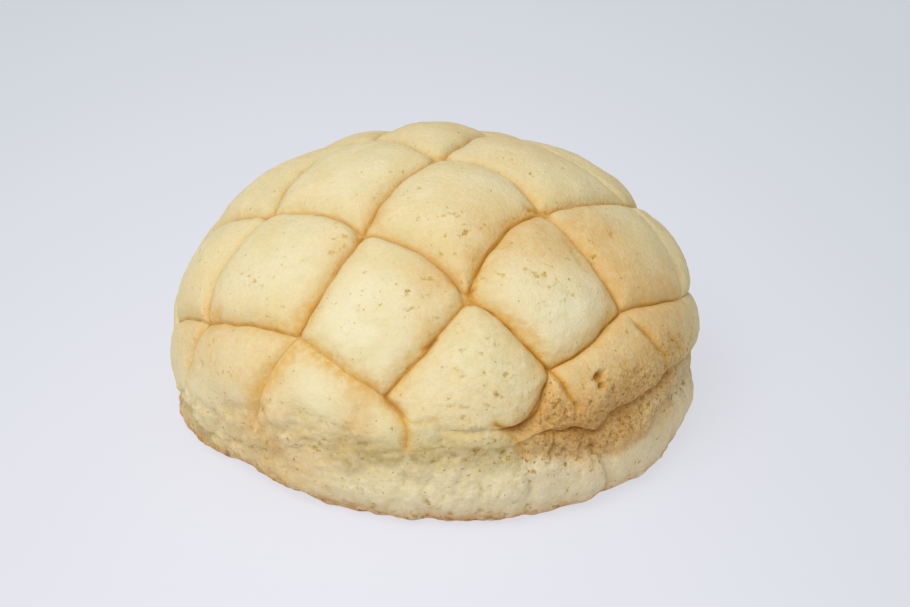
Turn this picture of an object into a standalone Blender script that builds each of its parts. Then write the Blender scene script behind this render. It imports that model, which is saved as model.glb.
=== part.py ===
"""Melon bread: a round sweet bun under a biscuit crust that is scored into a net of square tiles.

Metres, +Z up. The origin is at the middle of the flat underside, and the side towards -Y is the front.

The crust is drawn out flat first, as a disc. The point of the disc at an azimuth and at a distance from the
centre stands for the point of the bun at that azimuth, that length down the side from the top. The scores
make a net on the disc. The rising scores run from front left to back right, the falling scores from back
left to front right, and each of them has a whole number: a point's place in the net is (rise, fall).
"""
from bisect import bisect_left
from math import atan2, ceil, cos, degrees, exp, floor, hypot, pi, radians, sin, sqrt

import bmesh
import bpy
from mathutils import Vector, noise

# The bun without its relief
BUN_RADIUS = 0.0525
BUN_HEIGHT = 0.0555
WIDEST_HEIGHT = 0.0175
BASE_RADIUS = 0.0455
DOME_SQUARENESS = 1.9
FOOT_SQUARENESS = 2.6

# The net of scores on the flat disc
NET_CENTRE = (0.0016, 0.0004)
RISE_PITCH = 0.0240
RISE_DIRECTION = -38.5
FALL_PITCH = 0.0255
FALL_DIRECTION = -125.0
NET_REACH = 2

# How far each crossing lies off the even net, where the dough spread while it baked
CROSSING_SHIFTS = {
    (0, 0): (-0.0010, -0.0020),
    (1, 0): (0.0010, 0.0000),
    (2, 0): (0.0015, -0.0020),
    (0, 1): (-0.0015, -0.0025),
    (1, 1): (0.0010, -0.0040),
    (2, 1): (0.0010, -0.0010),
    (0, 2): (-0.0025, -0.0010),
    (1, 2): (-0.0030, -0.0030),
    (2, 2): (-0.0015, 0.0040),
    (-1, 1): (-0.0025, -0.0025),
    (-1, 2): (-0.0075, 0.0015),
    (-2, 2): (-0.0040, 0.0060),
    (-2, 1): (-0.0035, 0.0010),
    (2, -1): (0.0045, -0.0040),
    (1, -1): (0.0070, 0.0015),
    (0, -1): (-0.0035, 0.0005),
    (-1, 0): (0.0030, 0.0020),
    (-1, -1): (-0.0020, 0.0015),
    (-2, -1): (0.0015, -0.0020),
    (1, -2): (0.0020, -0.0010),
}

# How far the middle of a stretch of score bulges off a straight line, to the left of its run.
# A stretch is named by the crossing that it starts from.
RISING_BOWS = {
    (0, 0): -0.0016,
    (1, 0): -0.0020,
    (2, 0): 0.0016,
    (0, 1): 0.0008,
    (1, 1): 0.0014,
    (2, 1): 0.0045,
    (-1, 0): -0.0045,
    (-1, 1): -0.0028,
    (1, -1): 0.0015,
    (2, -1): 0.0008,
    (-2, 0): -0.0020,
    (0, -2): 0.0012,
}
FALLING_BOWS = {
    (0, 0): 0.0034,
    (0, 1): 0.0015,
    (-1, 1): 0.0018,
    (-1, 2): -0.0005,
    (0, 2): -0.0005,
    (1, 2): -0.0045,
    (1, -1): 0.0035,
    (-1, -1): 0.0015,
    (0, -2): 0.0020,
}

# How deep the scores are at a crossing, where they aren't full depth
CROSSING_DEPTHS = {
    (2, -1): 0.55,
    (1, -1): 0.7,
    (-1, 1): 0.85,
    (-1, 2): 0.9,
    (-2, 2): 0.6,
    (-2, 1): 0.7,
    (2, 2): 0.8,
    (2, -2): 0.6,
}

# The azimuths that the scores turn towards below the net, from each crossing of its border
BORDER_AZIMUTHS = {
    (-2, 2): -178.0,
    (-1, 2): -160.0,
    (0, 2): -137.0,
    (1, 2): -95.0,
    (2, 2): -78.0,
    (2, 1): -55.0,
    (2, 0): -29.0,
    (2, -1): -8.0,
    (2, -2): 11.0,
    (1, -2): 33.0,
    (0, -2): 54.0,
    (-1, -2): 74.0,
    (-2, -2): 95.0,
    (-2, -1): 116.0,
    (-2, 0): 140.0,
    (-2, 1): 162.0,
}

# How far the scores run on below the net, and how deep they are there, from 0 to 1
BORDER_TAILS = {
    (-1, 2): (0.018, 0.8),
    (0, 2): (0.028, 0.9),
    (1, 2): (0.014, 1.0),
    (2, 2): (0.006, 0.4),
    (2, 1): (0.012, 0.5),
    (2, 0): (0.022, 0.35),
    (2, -1): (0.012, 0.5),
    (2, -2): (0.008, 0.7),
    (1, -2): (0.018, 0.8),
    (0, -2): (0.028, 0.8),
    (-1, -2): (0.016, 0.8),
    (-2, -2): (0.006, 0.7),
    (-2, -1): (0.018, 0.8),
    (-2, 0): (0.028, 0.8),
    (-2, 1): (0.018, 0.7),
    (-2, 2): (0.008, 0.7),
}
TAIL_SWING = 1.7

# The tiles between the scores
TILE_EDGE_HEIGHT = 0.0011
TILE_EDGE_WIDTH = 0.0024
TILE_CROWN_HEIGHT = 0.0011
TILE_CROWN_WIDTH = 0.0115
TILE_CORNER_RADIUS = 0.0046

# The crease where the crust ends over the foot, by azimuth: its height, and its depth behind the crust
CREASE_HEIGHTS = (
    (-174.0, 0.0088),
    (-160.0, 0.0075),
    (-147.0, 0.0064),
    (-134.0, 0.0088),
    (-119.0, 0.0145),
    (-105.0, 0.0168),
    (-70.0, 0.0168),
    (-50.0, 0.0178),
    (-27.0, 0.0182),
    (-12.0, 0.0130),
    (0.0, 0.0072),
    (60.0, 0.0085),
    (120.0, 0.0065),
)
CREASE_DEPTHS = (
    (-174.0, 0.0060),
    (-160.0, 0.0030),
    (-146.0, 0.0005),
    (-122.0, 0.0005),
    (-98.0, 0.0018),
    (-72.0, 0.0022),
    (-45.0, 0.0028),
    (-10.0, 0.0028),
    (60.0, 0.0022),
    (130.0, 0.0016),
)
CREASE_WANDER = 0.0009
CREASE_WANDER_SIZE = 0.009
CREASE_CLEARANCE = 0.0022
LIP_CURL_WIDTH = 0.0090
LIP_EDGE_WIDTH = 0.0030
LIP_EDGE_SHARE = 0.55
LIP_DROOP_SHARE = 0.25

# A second, lower ledge on the right of the front
LEDGE_AZIMUTH = -40.0
LEDGE_SPREAD = 24.0
LEDGE_DROP = 0.0062
LEDGE_DEPTH = 0.0010
LEDGE_WIDTH = 0.0022

# How far the foot stands out at its bottom, by azimuth, and the height that it takes to swell
FOOT_SPREADS = (
    (-172.0, 0.0022),
    (-155.0, -0.0010),
    (-138.0, -0.0036),
    (-124.0, -0.0031),
    (-112.0, -0.0025),
    (-92.0, -0.0010),
    (-75.0, 0.0000),
    (-40.0, 0.0014),
    (0.0, 0.0016),
    (60.0, -0.0005),
    (120.0, 0.0004),
)
FOOT_SWELL = 0.0065

# The cracks in the foot: azimuth and depth
FOOT_CRACKS = (
    (-26.0, 0.0006),
    (-51.0, 0.0009),
    (-70.0, 0.0006),
    (-92.0, 0.0006),
    (40.0, 0.0008),
    (110.0, 0.0007),
)
FOOT_CRACK_WIDTH = 0.0020

# Lumps and crags
FOOT_LUMP_SIZE = 0.0085
FOOT_LUMP_DEPTH = 0.0008
CRUST_CRAG_SIZE = 0.0070
CRUST_CRAG_DEPTH = 0.0006
CRAGS_START = 0.055
CRAGS_FULL = 0.070
BUN_SWELL_SIZE = 0.030
BUN_SWELL_DEPTH = 0.0005
SWELL_SEED, LUMP_SEED, CRAG_SEED, WANDER_SEED = 2.0, 5.0, 8.0, 11.0

# How finely the surface is divided
STEPS_PER_TILE = 10
SCORE_CROWDING = 0.55
CRUST_RINGS = 10
FOOT_RINGS = 9
RING_CROWDING = 1.3
UNDERSIDE_RINGS = (0.80, 0.45)
OUTLINE_STEPS = 240

CRUST_COLOUR = (0.80, 0.66, 0.38, 1.0)
CRUST_ROUGHNESS = 0.85


def outline_points():
    """Points down the side of the bun from the top to the rim of the underside, as (radius, height)."""
    points = []
    power = 2.0 / DOME_SQUARENESS
    for step in range(OUTLINE_STEPS + 1):
        turn = 0.5 * pi * step / OUTLINE_STEPS
        height = (BUN_HEIGHT - WIDEST_HEIGHT) * max(cos(turn), 0.0) ** power
        points.append((BUN_RADIUS * sin(turn) ** power, WIDEST_HEIGHT + height))
    power = 2.0 / FOOT_SQUARENESS
    for step in range(1, OUTLINE_STEPS + 1):
        turn = 0.5 * pi * step / OUTLINE_STEPS
        radius = BASE_RADIUS + (BUN_RADIUS - BASE_RADIUS) * max(cos(turn), 0.0) ** power
        points.append((radius, WIDEST_HEIGHT * (1.0 - sin(turn) ** power)))
    return points


OUTLINE = outline_points()
LENGTHS = [0.0]
for upper, lower in zip(OUTLINE, OUTLINE[1:]):
    LENGTHS.append(LENGTHS[-1] + hypot(lower[0] - upper[0], lower[1] - upper[1]))
SIDE_LENGTH = LENGTHS[-1]
WIDEST_LENGTH = LENGTHS[OUTLINE_STEPS]


def outline_at(length):
    """Radius and height at a length down the side, and the outward direction there.

    The direction is square to the outline above the widest height, and level below it.
    """
    index = min(max(bisect_left(LENGTHS, length), 1), len(LENGTHS) - 1)
    share = (length - LENGTHS[index - 1]) / (LENGTHS[index] - LENGTHS[index - 1])
    share = min(max(share, 0.0), 1.0)
    upper, lower = OUTLINE[index - 1], OUTLINE[index]
    radius = upper[0] + share * (lower[0] - upper[0])
    height = upper[1] + share * (lower[1] - upper[1])
    if length >= WIDEST_LENGTH:
        return radius, height, (1.0, 0.0)
    run = hypot(lower[0] - upper[0], lower[1] - upper[1])
    return radius, height, ((upper[1] - lower[1]) / run, (lower[0] - upper[0]) / run)


def length_at_height(height):
    """The length down the side at which the bun comes down to a height in its lower half."""
    for index in range(OUTLINE_STEPS // 2, len(OUTLINE)):
        if OUTLINE[index][1] <= height:
            return LENGTHS[index]
    return SIDE_LENGTH


def around(table, azimuth):
    """Reads a value from a table of (azimuth, value) that runs once round the bun, with smooth passages."""
    angle = azimuth
    while angle < table[0][0]:
        angle += 360.0
    while angle >= table[0][0] + 360.0:
        angle -= 360.0
    closed = table + ((table[0][0] + 360.0, table[0][1]),)
    for (start, first), (end, second) in zip(closed, closed[1:]):
        if angle <= end:
            share = (angle - start) / (end - start)
            share = share * share * (3.0 - 2.0 * share)
            return first + share * (second - first)
    return table[0][1]


def turn_between(first, second):
    """The angle from one azimuth to another by the shorter way, in degrees."""
    return (second - first + 180.0) % 360.0 - 180.0


def crossing(rise, fall):
    """The place of a crossing of two scores on the flat disc."""
    across, down = radians(RISE_DIRECTION), radians(FALL_DIRECTION)
    shift = CROSSING_SHIFTS.get((rise, fall), (0.0, 0.0))
    return Vector((
        NET_CENTRE[0] + rise * RISE_PITCH * cos(across) + fall * FALL_PITCH * cos(down) + shift[0],
        NET_CENTRE[1] + rise * RISE_PITCH * sin(across) + fall * FALL_PITCH * sin(down) + shift[1],
    ))


def bowed(start, end, bow, share):
    """A point on the stretch of score between two crossings."""
    straight = end - start
    left = Vector((-straight.y, straight.x)).normalized()
    return start + share * straight + 4.0 * share * (1.0 - share) * bow * left


def tile_point(rise, fall, across, down):
    """A point inside the tile whose first crossing is (rise, fall), and its distances from the scores.

    ACROSS and DOWN run from 0 to 1 over the tile. The point is a blend of the four bowed stretches.
    """
    corner = {(i, j): crossing(rise + i, fall + j) for i in (0, 1) for j in (0, 1)}
    left = bowed(corner[0, 0], corner[0, 1], RISING_BOWS.get((rise, fall), 0.0), down)
    right = bowed(corner[1, 0], corner[1, 1], RISING_BOWS.get((rise + 1, fall), 0.0), down)
    top = bowed(corner[0, 0], corner[1, 0], FALLING_BOWS.get((rise, fall), 0.0), across)
    bottom = bowed(corner[0, 1], corner[1, 1], FALLING_BOWS.get((rise, fall + 1), 0.0), across)
    between = (corner[0, 0] * (1.0 - across) + corner[1, 0] * across) * (1.0 - down)
    between += (corner[0, 1] * (1.0 - across) + corner[1, 1] * across) * down
    point = left * (1.0 - across) + right * across + top * (1.0 - down) + bottom * down - between
    from_rising = min(across, 1.0 - across) * (right - left).length
    from_falling = min(down, 1.0 - down) * (bottom - top).length
    return point, from_rising, from_falling


def crowd(share):
    """Moves the steps across a tile towards its two scores."""
    return share - SCORE_CROWDING * sin(2.0 * pi * share) / (2.0 * pi)


def net_point(rise, fall):
    """The disc point at a place in the net, and its distances from the nearest rising and falling score."""
    first_rise = min(max(floor(rise), -NET_REACH), NET_REACH - 1)
    first_fall = min(max(floor(fall), -NET_REACH), NET_REACH - 1)
    return tile_point(first_rise, first_fall, crowd(rise - first_rise), crowd(fall - first_fall))


def crossing_depth(rise, fall):
    """How deep the scores are near a place in the net, from the four crossings around it."""
    left, back = floor(rise), floor(fall)
    across, down = rise - left, fall - back
    depth = 0.0
    for step, share in ((0, 1.0 - across), (1, across)):
        for row, portion in ((0, 1.0 - down), (1, down)):
            depth += share * portion * CROSSING_DEPTHS.get((left + step, back + row), 1.0)
    return depth


def tile_relief(from_rising, from_falling):
    """How far a point of a tile lies below the tile's crown, from its distances to the scores."""
    nearest = min(from_rising, from_falling)
    if nearest < TILE_CORNER_RADIUS:
        short_rising = max(TILE_CORNER_RADIUS - from_rising, 0.0)
        short_falling = max(TILE_CORNER_RADIUS - from_falling, 0.0)
        nearest = max(TILE_CORNER_RADIUS - hypot(short_rising, short_falling), 0.0)
    return rounded_edge(nearest, TILE_EDGE_WIDTH, TILE_EDGE_HEIGHT, TILE_CROWN_WIDTH, TILE_CROWN_HEIGHT)


def rounded_edge(distance, edge_width, edge_height, crown_width, crown_height):
    """The fall of a pillow towards its edge: a quarter round at the edge itself and a long, low crown."""
    edge = 1.0 - min(distance / edge_width, 1.0)
    crown = 1.0 - min(distance / crown_width, 1.0)
    return edge_height * (1.0 - sqrt(1.0 - edge * edge)) + crown_height * crown * crown


def bump(offset, width):
    """A smooth hill of height 1."""
    return exp(-(offset / width) ** 2)


def ease(value):
    """Goes smoothly from 0 to 1 as the value does."""
    share = min(max(value, 0.0), 1.0)
    return share * share * (3.0 - 2.0 * share)


def lump(place, size, seed):
    """A seeded unevenness between -1 and 1 whose hills are about SIZE apart."""
    return noise.noise(Vector(place) / size + Vector((seed, 0.37 * seed, -0.71 * seed)))


def crease_length(azimuth):
    """The length down the side at which the crust ends."""
    angle = radians(azimuth)
    place = (BUN_RADIUS * cos(angle), BUN_RADIUS * sin(angle), 0.0)
    wander = CREASE_WANDER * lump(place, CREASE_WANDER_SIZE, WANDER_SEED)
    return length_at_height(around(CREASE_HEIGHTS, azimuth)) + wander


def skirt_relief(azimuth, below, place):
    """How far the surface near and below the crease stands in or out, BELOW being the length past it."""
    depth = around(CREASE_DEPTHS, azimuth)
    edge = LIP_EDGE_SHARE * depth
    if below < 0.0:
        return -rounded_edge(-below, LIP_EDGE_WIDTH, edge, LIP_CURL_WIDTH, depth - edge)
    relief = depth * (ease(below / FOOT_SWELL) - 1.0)
    ledge = LEDGE_DEPTH * bump(turn_between(LEDGE_AZIMUTH, azimuth), LEDGE_SPREAD)
    relief += ledge * (bump(below - 0.5 * LEDGE_DROP, LEDGE_WIDTH) - bump(below - LEDGE_DROP, LEDGE_WIDTH))
    for crack_azimuth, crack_depth in FOOT_CRACKS:
        away = radians(turn_between(crack_azimuth, azimuth)) * BUN_RADIUS
        relief -= crack_depth * ease(below / FOOT_SWELL) * bump(away, FOOT_CRACK_WIDTH)
    return relief + ease(below / FOOT_SWELL) * FOOT_LUMP_DEPTH * lump(place, FOOT_LUMP_SIZE, LUMP_SEED)


def surface_point(flat, scored):
    """Carries a point of the flat disc to the bun, SCORED being how far it lies below its tile's crown."""
    length = min(flat.length, SIDE_LENGTH)
    angle = atan2(flat.y, flat.x)
    azimuth = degrees(angle)
    radius, height, outward = outline_at(length)
    place = (radius * cos(angle), radius * sin(angle), height)
    below = length - crease_length(azimuth)
    relief = skirt_relief(azimuth, below, place) - scored * ease(-below / CREASE_CLEARANCE)
    relief += BUN_SWELL_DEPTH * lump(place, BUN_SWELL_SIZE, SWELL_SEED)
    cragged = ease((length - CRAGS_START) / (CRAGS_FULL - CRAGS_START))
    relief += CRUST_CRAG_DEPTH * cragged * lump(place, CRUST_CRAG_SIZE, CRAG_SEED)
    relief += around(FOOT_SPREADS, azimuth) * ease(1.0 - height / WIDEST_HEIGHT)
    radius += outward[0] * relief
    height += outward[1] * relief
    droop = LIP_DROOP_SHARE * around(CREASE_DEPTHS, azimuth)
    height -= droop * bump(below + 0.5 * LIP_EDGE_WIDTH, 0.6 * LIP_EDGE_WIDTH)
    return Vector((radius * cos(angle), radius * sin(angle), height))


def net_surface(rise, fall):
    """The bun's surface at a place in the net."""
    flat, from_rising, from_falling = net_point(rise, fall)
    return surface_point(flat, crossing_depth(rise, fall) * tile_relief(from_rising, from_falling))


class Column:
    """The line down the side of the bun from one place on the net's border to the rim of the underside."""

    def __init__(self, rise, fall):
        self.start = net_point(rise, fall)[0]
        along_fall = abs(abs(rise) - NET_REACH) < 1e-6
        run = fall if along_fall else rise
        share = crowd(run - floor(run))
        self.ends = []
        for whole in (floor(run), ceil(run)):
            self.ends.append((round(rise), whole) if along_fall else (whole, round(fall)))
        first, second = (BORDER_AZIMUTHS[end] for end in self.ends)
        self.end_azimuth = first + share * turn_between(first, second)
        self.depth = crossing_depth(rise, fall)

    def flat_point(self, ring):
        """The disc point on a ring. The first rings lead to the crease and the rest to the rim."""
        way = min(TAIL_SWING * ring / (CRUST_RINGS + FOOT_RINGS), 1.0)
        start_azimuth = degrees(atan2(self.start.y, self.start.x))
        azimuth = start_azimuth + turn_between(start_azimuth, self.end_azimuth) * way
        crease = max(crease_length(azimuth), self.start.length + CREASE_CLEARANCE)
        if ring <= CRUST_RINGS:
            share = 1.0 - (1.0 - ring / CRUST_RINGS) ** RING_CROWDING
            length = self.start.length + (crease - self.start.length) * share
        else:
            share = ((ring - CRUST_RINGS) / FOOT_RINGS) ** RING_CROWDING
            length = crease + (SIDE_LENGTH - crease) * share
        angle = radians(azimuth)
        return Vector((length * cos(angle), length * sin(angle)))

    def surface(self, ring, tails):
        """The bun's surface on a ring, TAILS being the columns that scores run on along."""
        flat = self.flat_point(ring)
        from_border = (flat - self.start).length
        scored = tile_relief(TILE_CROWN_WIDTH, from_border)
        deepest = scored
        for end in self.ends:
            reach, depth = BORDER_TAILS[end]
            on_score = tails[end].flat_point(ring)
            run = (on_score - tails[end].start).length
            fade = depth * max(0.0, 1.0 - (run / reach) ** 2)
            cut = tile_relief((flat - on_score).length, from_border)
            deepest = max(deepest, scored + fade * (cut - scored))
        return surface_point(flat, self.depth * deepest)


def border(mesh):
    """The vertices on the open edge."""
    return [vertex for vertex in mesh.verts if vertex.is_boundary]


def extrude_border(mesh):
    """Adds a ring of faces to the open edge and gives back its new vertices."""
    edges = [edge for edge in mesh.edges if edge.is_boundary]
    grown = bmesh.ops.extrude_edge_only(mesh, edges=edges)
    return [item for item in grown["geom"] if isinstance(item, bmesh.types.BMVert)]


def build_bun():
    """Lays out the net as a grid, draws its border down the sides and under the foot, and closes it."""
    mesh = bmesh.new()
    rise_layer = mesh.verts.layers.float.new("rise")
    fall_layer = mesh.verts.layers.float.new("fall")
    steps = 2 * NET_REACH * STEPS_PER_TILE
    bmesh.ops.create_grid(mesh, x_segments=steps, y_segments=steps, size=float(NET_REACH))
    for vertex in mesh.verts:
        vertex[rise_layer] = round(vertex.co.x * STEPS_PER_TILE)
        vertex[fall_layer] = -round(vertex.co.y * STEPS_PER_TILE)
        vertex.co = net_surface(vertex[rise_layer] / STEPS_PER_TILE, vertex[fall_layer] / STEPS_PER_TILE)

    tails = {end: Column(*end) for end in BORDER_TAILS}
    columns = {}
    for vertex in border(mesh):
        place = (vertex[rise_layer], vertex[fall_layer])
        columns[place] = Column(place[0] / STEPS_PER_TILE, place[1] / STEPS_PER_TILE)
    for ring in range(1, CRUST_RINGS + FOOT_RINGS + 1):
        for vertex in extrude_border(mesh):
            vertex.co = columns[vertex[rise_layer], vertex[fall_layer]].surface(ring, tails)

    rim = {(vertex[rise_layer], vertex[fall_layer]): vertex.co.copy() for vertex in border(mesh)}
    for share in UNDERSIDE_RINGS:
        for vertex in extrude_border(mesh):
            vertex.co = rim[vertex[rise_layer], vertex[fall_layer]] * share
    bmesh.ops.holes_fill(mesh, edges=[edge for edge in mesh.edges if edge.is_boundary], sides=0)
    bmesh.ops.recalc_face_normals(mesh, faces=mesh.faces)
    for face in mesh.faces:
        face.smooth = True
    return mesh


def crust_material():
    """The pale baked crust."""
    material = bpy.data.materials.new("crust")
    material.use_nodes = True
    shader = material.node_tree.nodes["Principled BSDF"]
    shader.inputs["Base Color"].default_value = CRUST_COLOUR
    shader.inputs["Roughness"].default_value = CRUST_ROUGHNESS
    return material


def centre_underside(mesh):
    """Moves the bun so that the middle of its box stands over the origin."""
    for axis in (0, 1):
        places = [vertex.co[axis] for vertex in mesh.verts]
        middle = 0.5 * (min(places) + max(places))
        for vertex in mesh.verts:
            vertex.co[axis] -= middle


def main():
    """Builds the bun as one named object."""
    for old in list(bpy.data.objects):
        bpy.data.objects.remove(old)
    mesh = build_bun()
    centre_underside(mesh)
    data = bpy.data.meshes.new("melon_bread")
    mesh.to_mesh(data)
    mesh.free()
    data.materials.append(crust_material())
    bun = bpy.data.objects.new("melon_bread", data)
    bpy.context.scene.collection.objects.link(bun)


main()
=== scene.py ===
"""Looks of a melon bread: a round sweet bun under a pale biscuit crust that is scored into square tiles.

Metres, +Z up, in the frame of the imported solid. The side towards -Y is the front.

The crust is drawn out flat first, as a disc. The point of the disc at an azimuth and at a distance from the
centre stands for the point of the bun at that azimuth, that length down the side from the top. The scores
make a net on the disc. The rising scores run from front left to back right, the falling scores from back
left to front right, and each has a whole number, so that (rise, fall) is a place in the net. Below the net,
(rise, fall) is a place on its border, and the drop runs from 0 there to 1 at the crease under the crust's
lip and 2 at the rim of the underside, whose own rings have drops from 3 on.
"""

import logging
from dataclasses import dataclass
from enum import Enum
from math import cos, pi, radians, sin

import bpy
import numpy as np
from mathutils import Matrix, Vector, noise


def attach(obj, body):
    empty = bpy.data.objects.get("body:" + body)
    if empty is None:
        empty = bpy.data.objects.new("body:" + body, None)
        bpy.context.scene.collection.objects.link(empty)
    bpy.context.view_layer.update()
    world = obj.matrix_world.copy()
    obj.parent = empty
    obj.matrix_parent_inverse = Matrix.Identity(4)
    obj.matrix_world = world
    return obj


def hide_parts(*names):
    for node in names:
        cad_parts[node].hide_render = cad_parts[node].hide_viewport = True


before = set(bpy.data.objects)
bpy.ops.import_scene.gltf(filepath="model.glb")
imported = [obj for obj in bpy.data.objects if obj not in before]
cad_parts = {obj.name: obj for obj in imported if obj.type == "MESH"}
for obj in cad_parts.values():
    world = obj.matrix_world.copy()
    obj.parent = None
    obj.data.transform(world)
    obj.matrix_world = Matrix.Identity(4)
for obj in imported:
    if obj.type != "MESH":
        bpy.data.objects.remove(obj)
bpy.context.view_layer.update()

NODE = "melon_bread"
MILLIMETRE = 0.001
# Longer than any distance on the bun
FAR_AWAY = 1.0
# The way that a pattern's seed moves it through space, for lumps and for grains
LUMP_DRIFT = (1.0, 0.37, -0.71)
GRAIN_DRIFT = (1.0, 0.53, -0.29)

Table = tuple[tuple[float, float], ...]
Rows = tuple[tuple[float, ...], ...]
Colour = tuple[int, int, int]
# What a node's socket takes: the output of another node, a number, or a place or colour
SocketValue = bpy.types.NodeSocket | float | tuple[float, ...]

log = logging.getLogger(NODE)


class Layer(Enum):
    """The values that the mesh carries, from its shape to its finish."""

    RISE = "rise"
    FALL = "fall"
    DROP = "drop"
    LINE_GAP = "line_gap"
    LINE_DEPTH = "line_depth"
    AMBER = "amber"
    TAN = "tan"
    PALE = "pale"
    FOOT = "foot"
    RIM = "rim"
    HOLLOW = "hollow"
    CREVICE_SHADE = "crevice_shade"
    CRAG = "crag"
    FLECKED = "flecked"
    CREASE_SHADE = "crease"
    SEAM_SHADE = "seam"


class Pattern(Enum):
    """The seeded patterns of the relief and the colour, each with its seed."""

    SWELLS = 2.0
    FOOT_LUMPS = 5.0
    SKIRT_LUMPS = 8.0
    CREASE_WANDER = 11.0
    SCORE_WANDER_ACROSS = 21.0
    SCORE_WANDER_ALONG = 22.0
    KNOBS = 23.0
    BUBBLES = 24.0
    GRAIN = 25.0
    CRAGS = 26.0
    GRIT = 27.0
    RIM = 28.0
    LOBES = 29.0
    EDGE_WANDER = 30.0
    KNUCKLES = 31.0
    COLOUR = 32.0
    PEBBLES = 33.0


def ease(value: np.ndarray) -> np.ndarray:
    """Goes smoothly from 0 to 1 as the value does."""
    share = np.clip(value, 0.0, 1.0)
    return share * share * (3.0 - 2.0 * share)


def hill(offset: np.ndarray, width: float) -> np.ndarray:
    """A smooth hill of height 1 at offset 0."""
    return np.exp(-(offset / width) ** 2)


def turn_between(first: np.ndarray, second: np.ndarray) -> np.ndarray:
    """The angle from one azimuth to another by the shorter way, in degrees."""
    return (second - first + 180.0) % 360.0 - 180.0


def around(table: Table, azimuth: np.ndarray) -> np.ndarray:
    """Reads a table that runs once round the bun, with smooth passages.

    Args:
        table: Rows of azimuth and value, in rising azimuths.
        azimuth: Where to read it, in degrees.

    Returns:
        The values there.
    """
    start = table[0][0]
    angles = np.array([row[0] for row in table] + [start + 360.0])
    values = np.array([row[1] for row in table] + [table[0][1]])
    angle = (azimuth - start) % 360.0 + start
    index = np.clip(np.searchsorted(angles, angle, side="right") - 1, 0, len(table) - 1)
    share = ease((angle - angles[index]) / (angles[index + 1] - angles[index]))
    return values[index] + share * (values[index + 1] - values[index])


def lump(places: np.ndarray, size: float, pattern: Pattern) -> np.ndarray:
    """A seeded unevenness between -1 and 1.

    Args:
        places: Points in space, one a row.
        size: How far apart its hills are, in metres.
        pattern: Which pattern it is.

    Returns:
        One value a point.
    """
    shift = Vector([pattern.value * way for way in LUMP_DRIFT])
    return np.array([noise.noise(Vector(place) / size + shift) for place in places])


def grains(places: np.ndarray, size: float, pattern: Pattern) -> tuple[np.ndarray, np.ndarray]:
    """A seeded packing of rounded grains.

    Args:
        places: Points in space, one a row.
        size: How wide the grains are, in metres.
        pattern: Which pattern it is.

    Returns:
        How far each point is from the middle of its grain, and from the seam to the next one, in grains.
    """
    shift = Vector([pattern.value * way for way in GRAIN_DRIFT])
    near = np.array([noise.voronoi(Vector(place) / size + shift)[0][:2] for place in places]).reshape(-1, 2)
    return near[:, 0], near[:, 1] - near[:, 0]


def gap_to_line(points: np.ndarray, line: Rows) -> np.ndarray:
    """The distance of each flat point from a bent line.

    Args:
        points: Flat points in metres, one a row.
        line: The line's corners on the flat disc, in millimetres.

    Returns:
        The distances in metres.
    """
    corners = np.array(line) * MILLIMETRE
    nearest = np.full(len(points), np.inf)
    for start, end in zip(corners, corners[1:]):
        run = end - start
        share = np.clip((points - start) @ run / (run @ run), 0.0, 1.0)
        nearest = np.minimum(nearest, np.hypot(*(points - start - share[:, None] * run).T))
    return nearest


@dataclass(frozen=True)
class SideOutline:
    """The side of the bun without relief: a dome on a foot that turns in to the flat underside."""

    radius: float = 0.0525
    height: float = 0.0555
    widest: float = 0.0175
    base_radius: float = 0.0455
    dome_squareness: float = 1.9
    foot_squareness: float = 2.6
    steps: int = 240

    def points(self) -> np.ndarray:
        """Points down the side, from the top to the rim of the underside.

        Returns:
            One row a point: its radius and its height.
        """
        turn = 0.5 * pi * np.arange(self.steps + 1) / self.steps
        power = 2.0 / self.dome_squareness
        falling = np.maximum(np.cos(turn), 0.0)
        dome = np.stack([self.radius * np.sin(turn) ** power,
                         self.widest + (self.height - self.widest) * falling ** power], axis=1)
        power = 2.0 / self.foot_squareness
        foot = np.stack([self.base_radius + (self.radius - self.base_radius) * falling ** power,
                         self.widest * (1.0 - np.sin(turn) ** power)], axis=1)
        return np.concatenate([dome, foot[1:]])

    def lengths(self) -> np.ndarray:
        """The length down the side to each of the points."""
        steps = np.hypot(*np.diff(self.points(), axis=0).T)
        return np.concatenate([[0.0], np.cumsum(steps)])

    def at(self, length: np.ndarray) -> tuple[np.ndarray, np.ndarray, np.ndarray, np.ndarray]:
        """The side at a length down from the top.

        Args:
            length: The lengths, in metres.

        Returns:
            The radius, the height, and the outward direction as its radial and its upward part. Below the
            widest height the direction is level.
        """
        points, lengths = self.points(), self.lengths()
        slope = np.gradient(points, lengths, axis=0)
        on_dome = length < lengths[self.steps]
        outward = np.where(on_dome, -np.interp(length, lengths, slope[:, 1]), 1.0)
        upward = np.where(on_dome, np.interp(length, lengths, slope[:, 0]), 0.0)
        size = np.hypot(outward, upward)
        radius = np.interp(length, lengths, points[:, 0])
        height = np.interp(length, lengths, points[:, 1])
        return radius, height, outward / size, upward / size

    def length_at(self, height: np.ndarray) -> np.ndarray:
        """The length down the side at which the bun comes down to a height."""
        return np.interp(-height, -self.points()[:, 1], self.lengths())

    def lay_on(self, flat: np.ndarray) -> tuple[np.ndarray, np.ndarray, np.ndarray]:
        """Carries flat points to the side without relief.

        Args:
            flat: The flat points.

        Returns:
            Their lengths down the side, their angles round the bun in radians, and the points in space.
        """
        length = np.minimum(np.hypot(*flat.T), self.lengths()[-1])
        angle = np.arctan2(flat[:, 1], flat[:, 0])
        radius, height, _, _ = self.at(length)
        return length, angle, np.stack([radius * np.cos(angle), radius * np.sin(angle), height], axis=1)


@dataclass
class NetPlaces:
    """Where places in the net lie: on the flat disc, from the scores, and below the middle of their tile."""

    flat: np.ndarray
    from_rising: np.ndarray
    from_falling: np.ndarray
    lean: np.ndarray
    colour: np.ndarray


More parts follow.
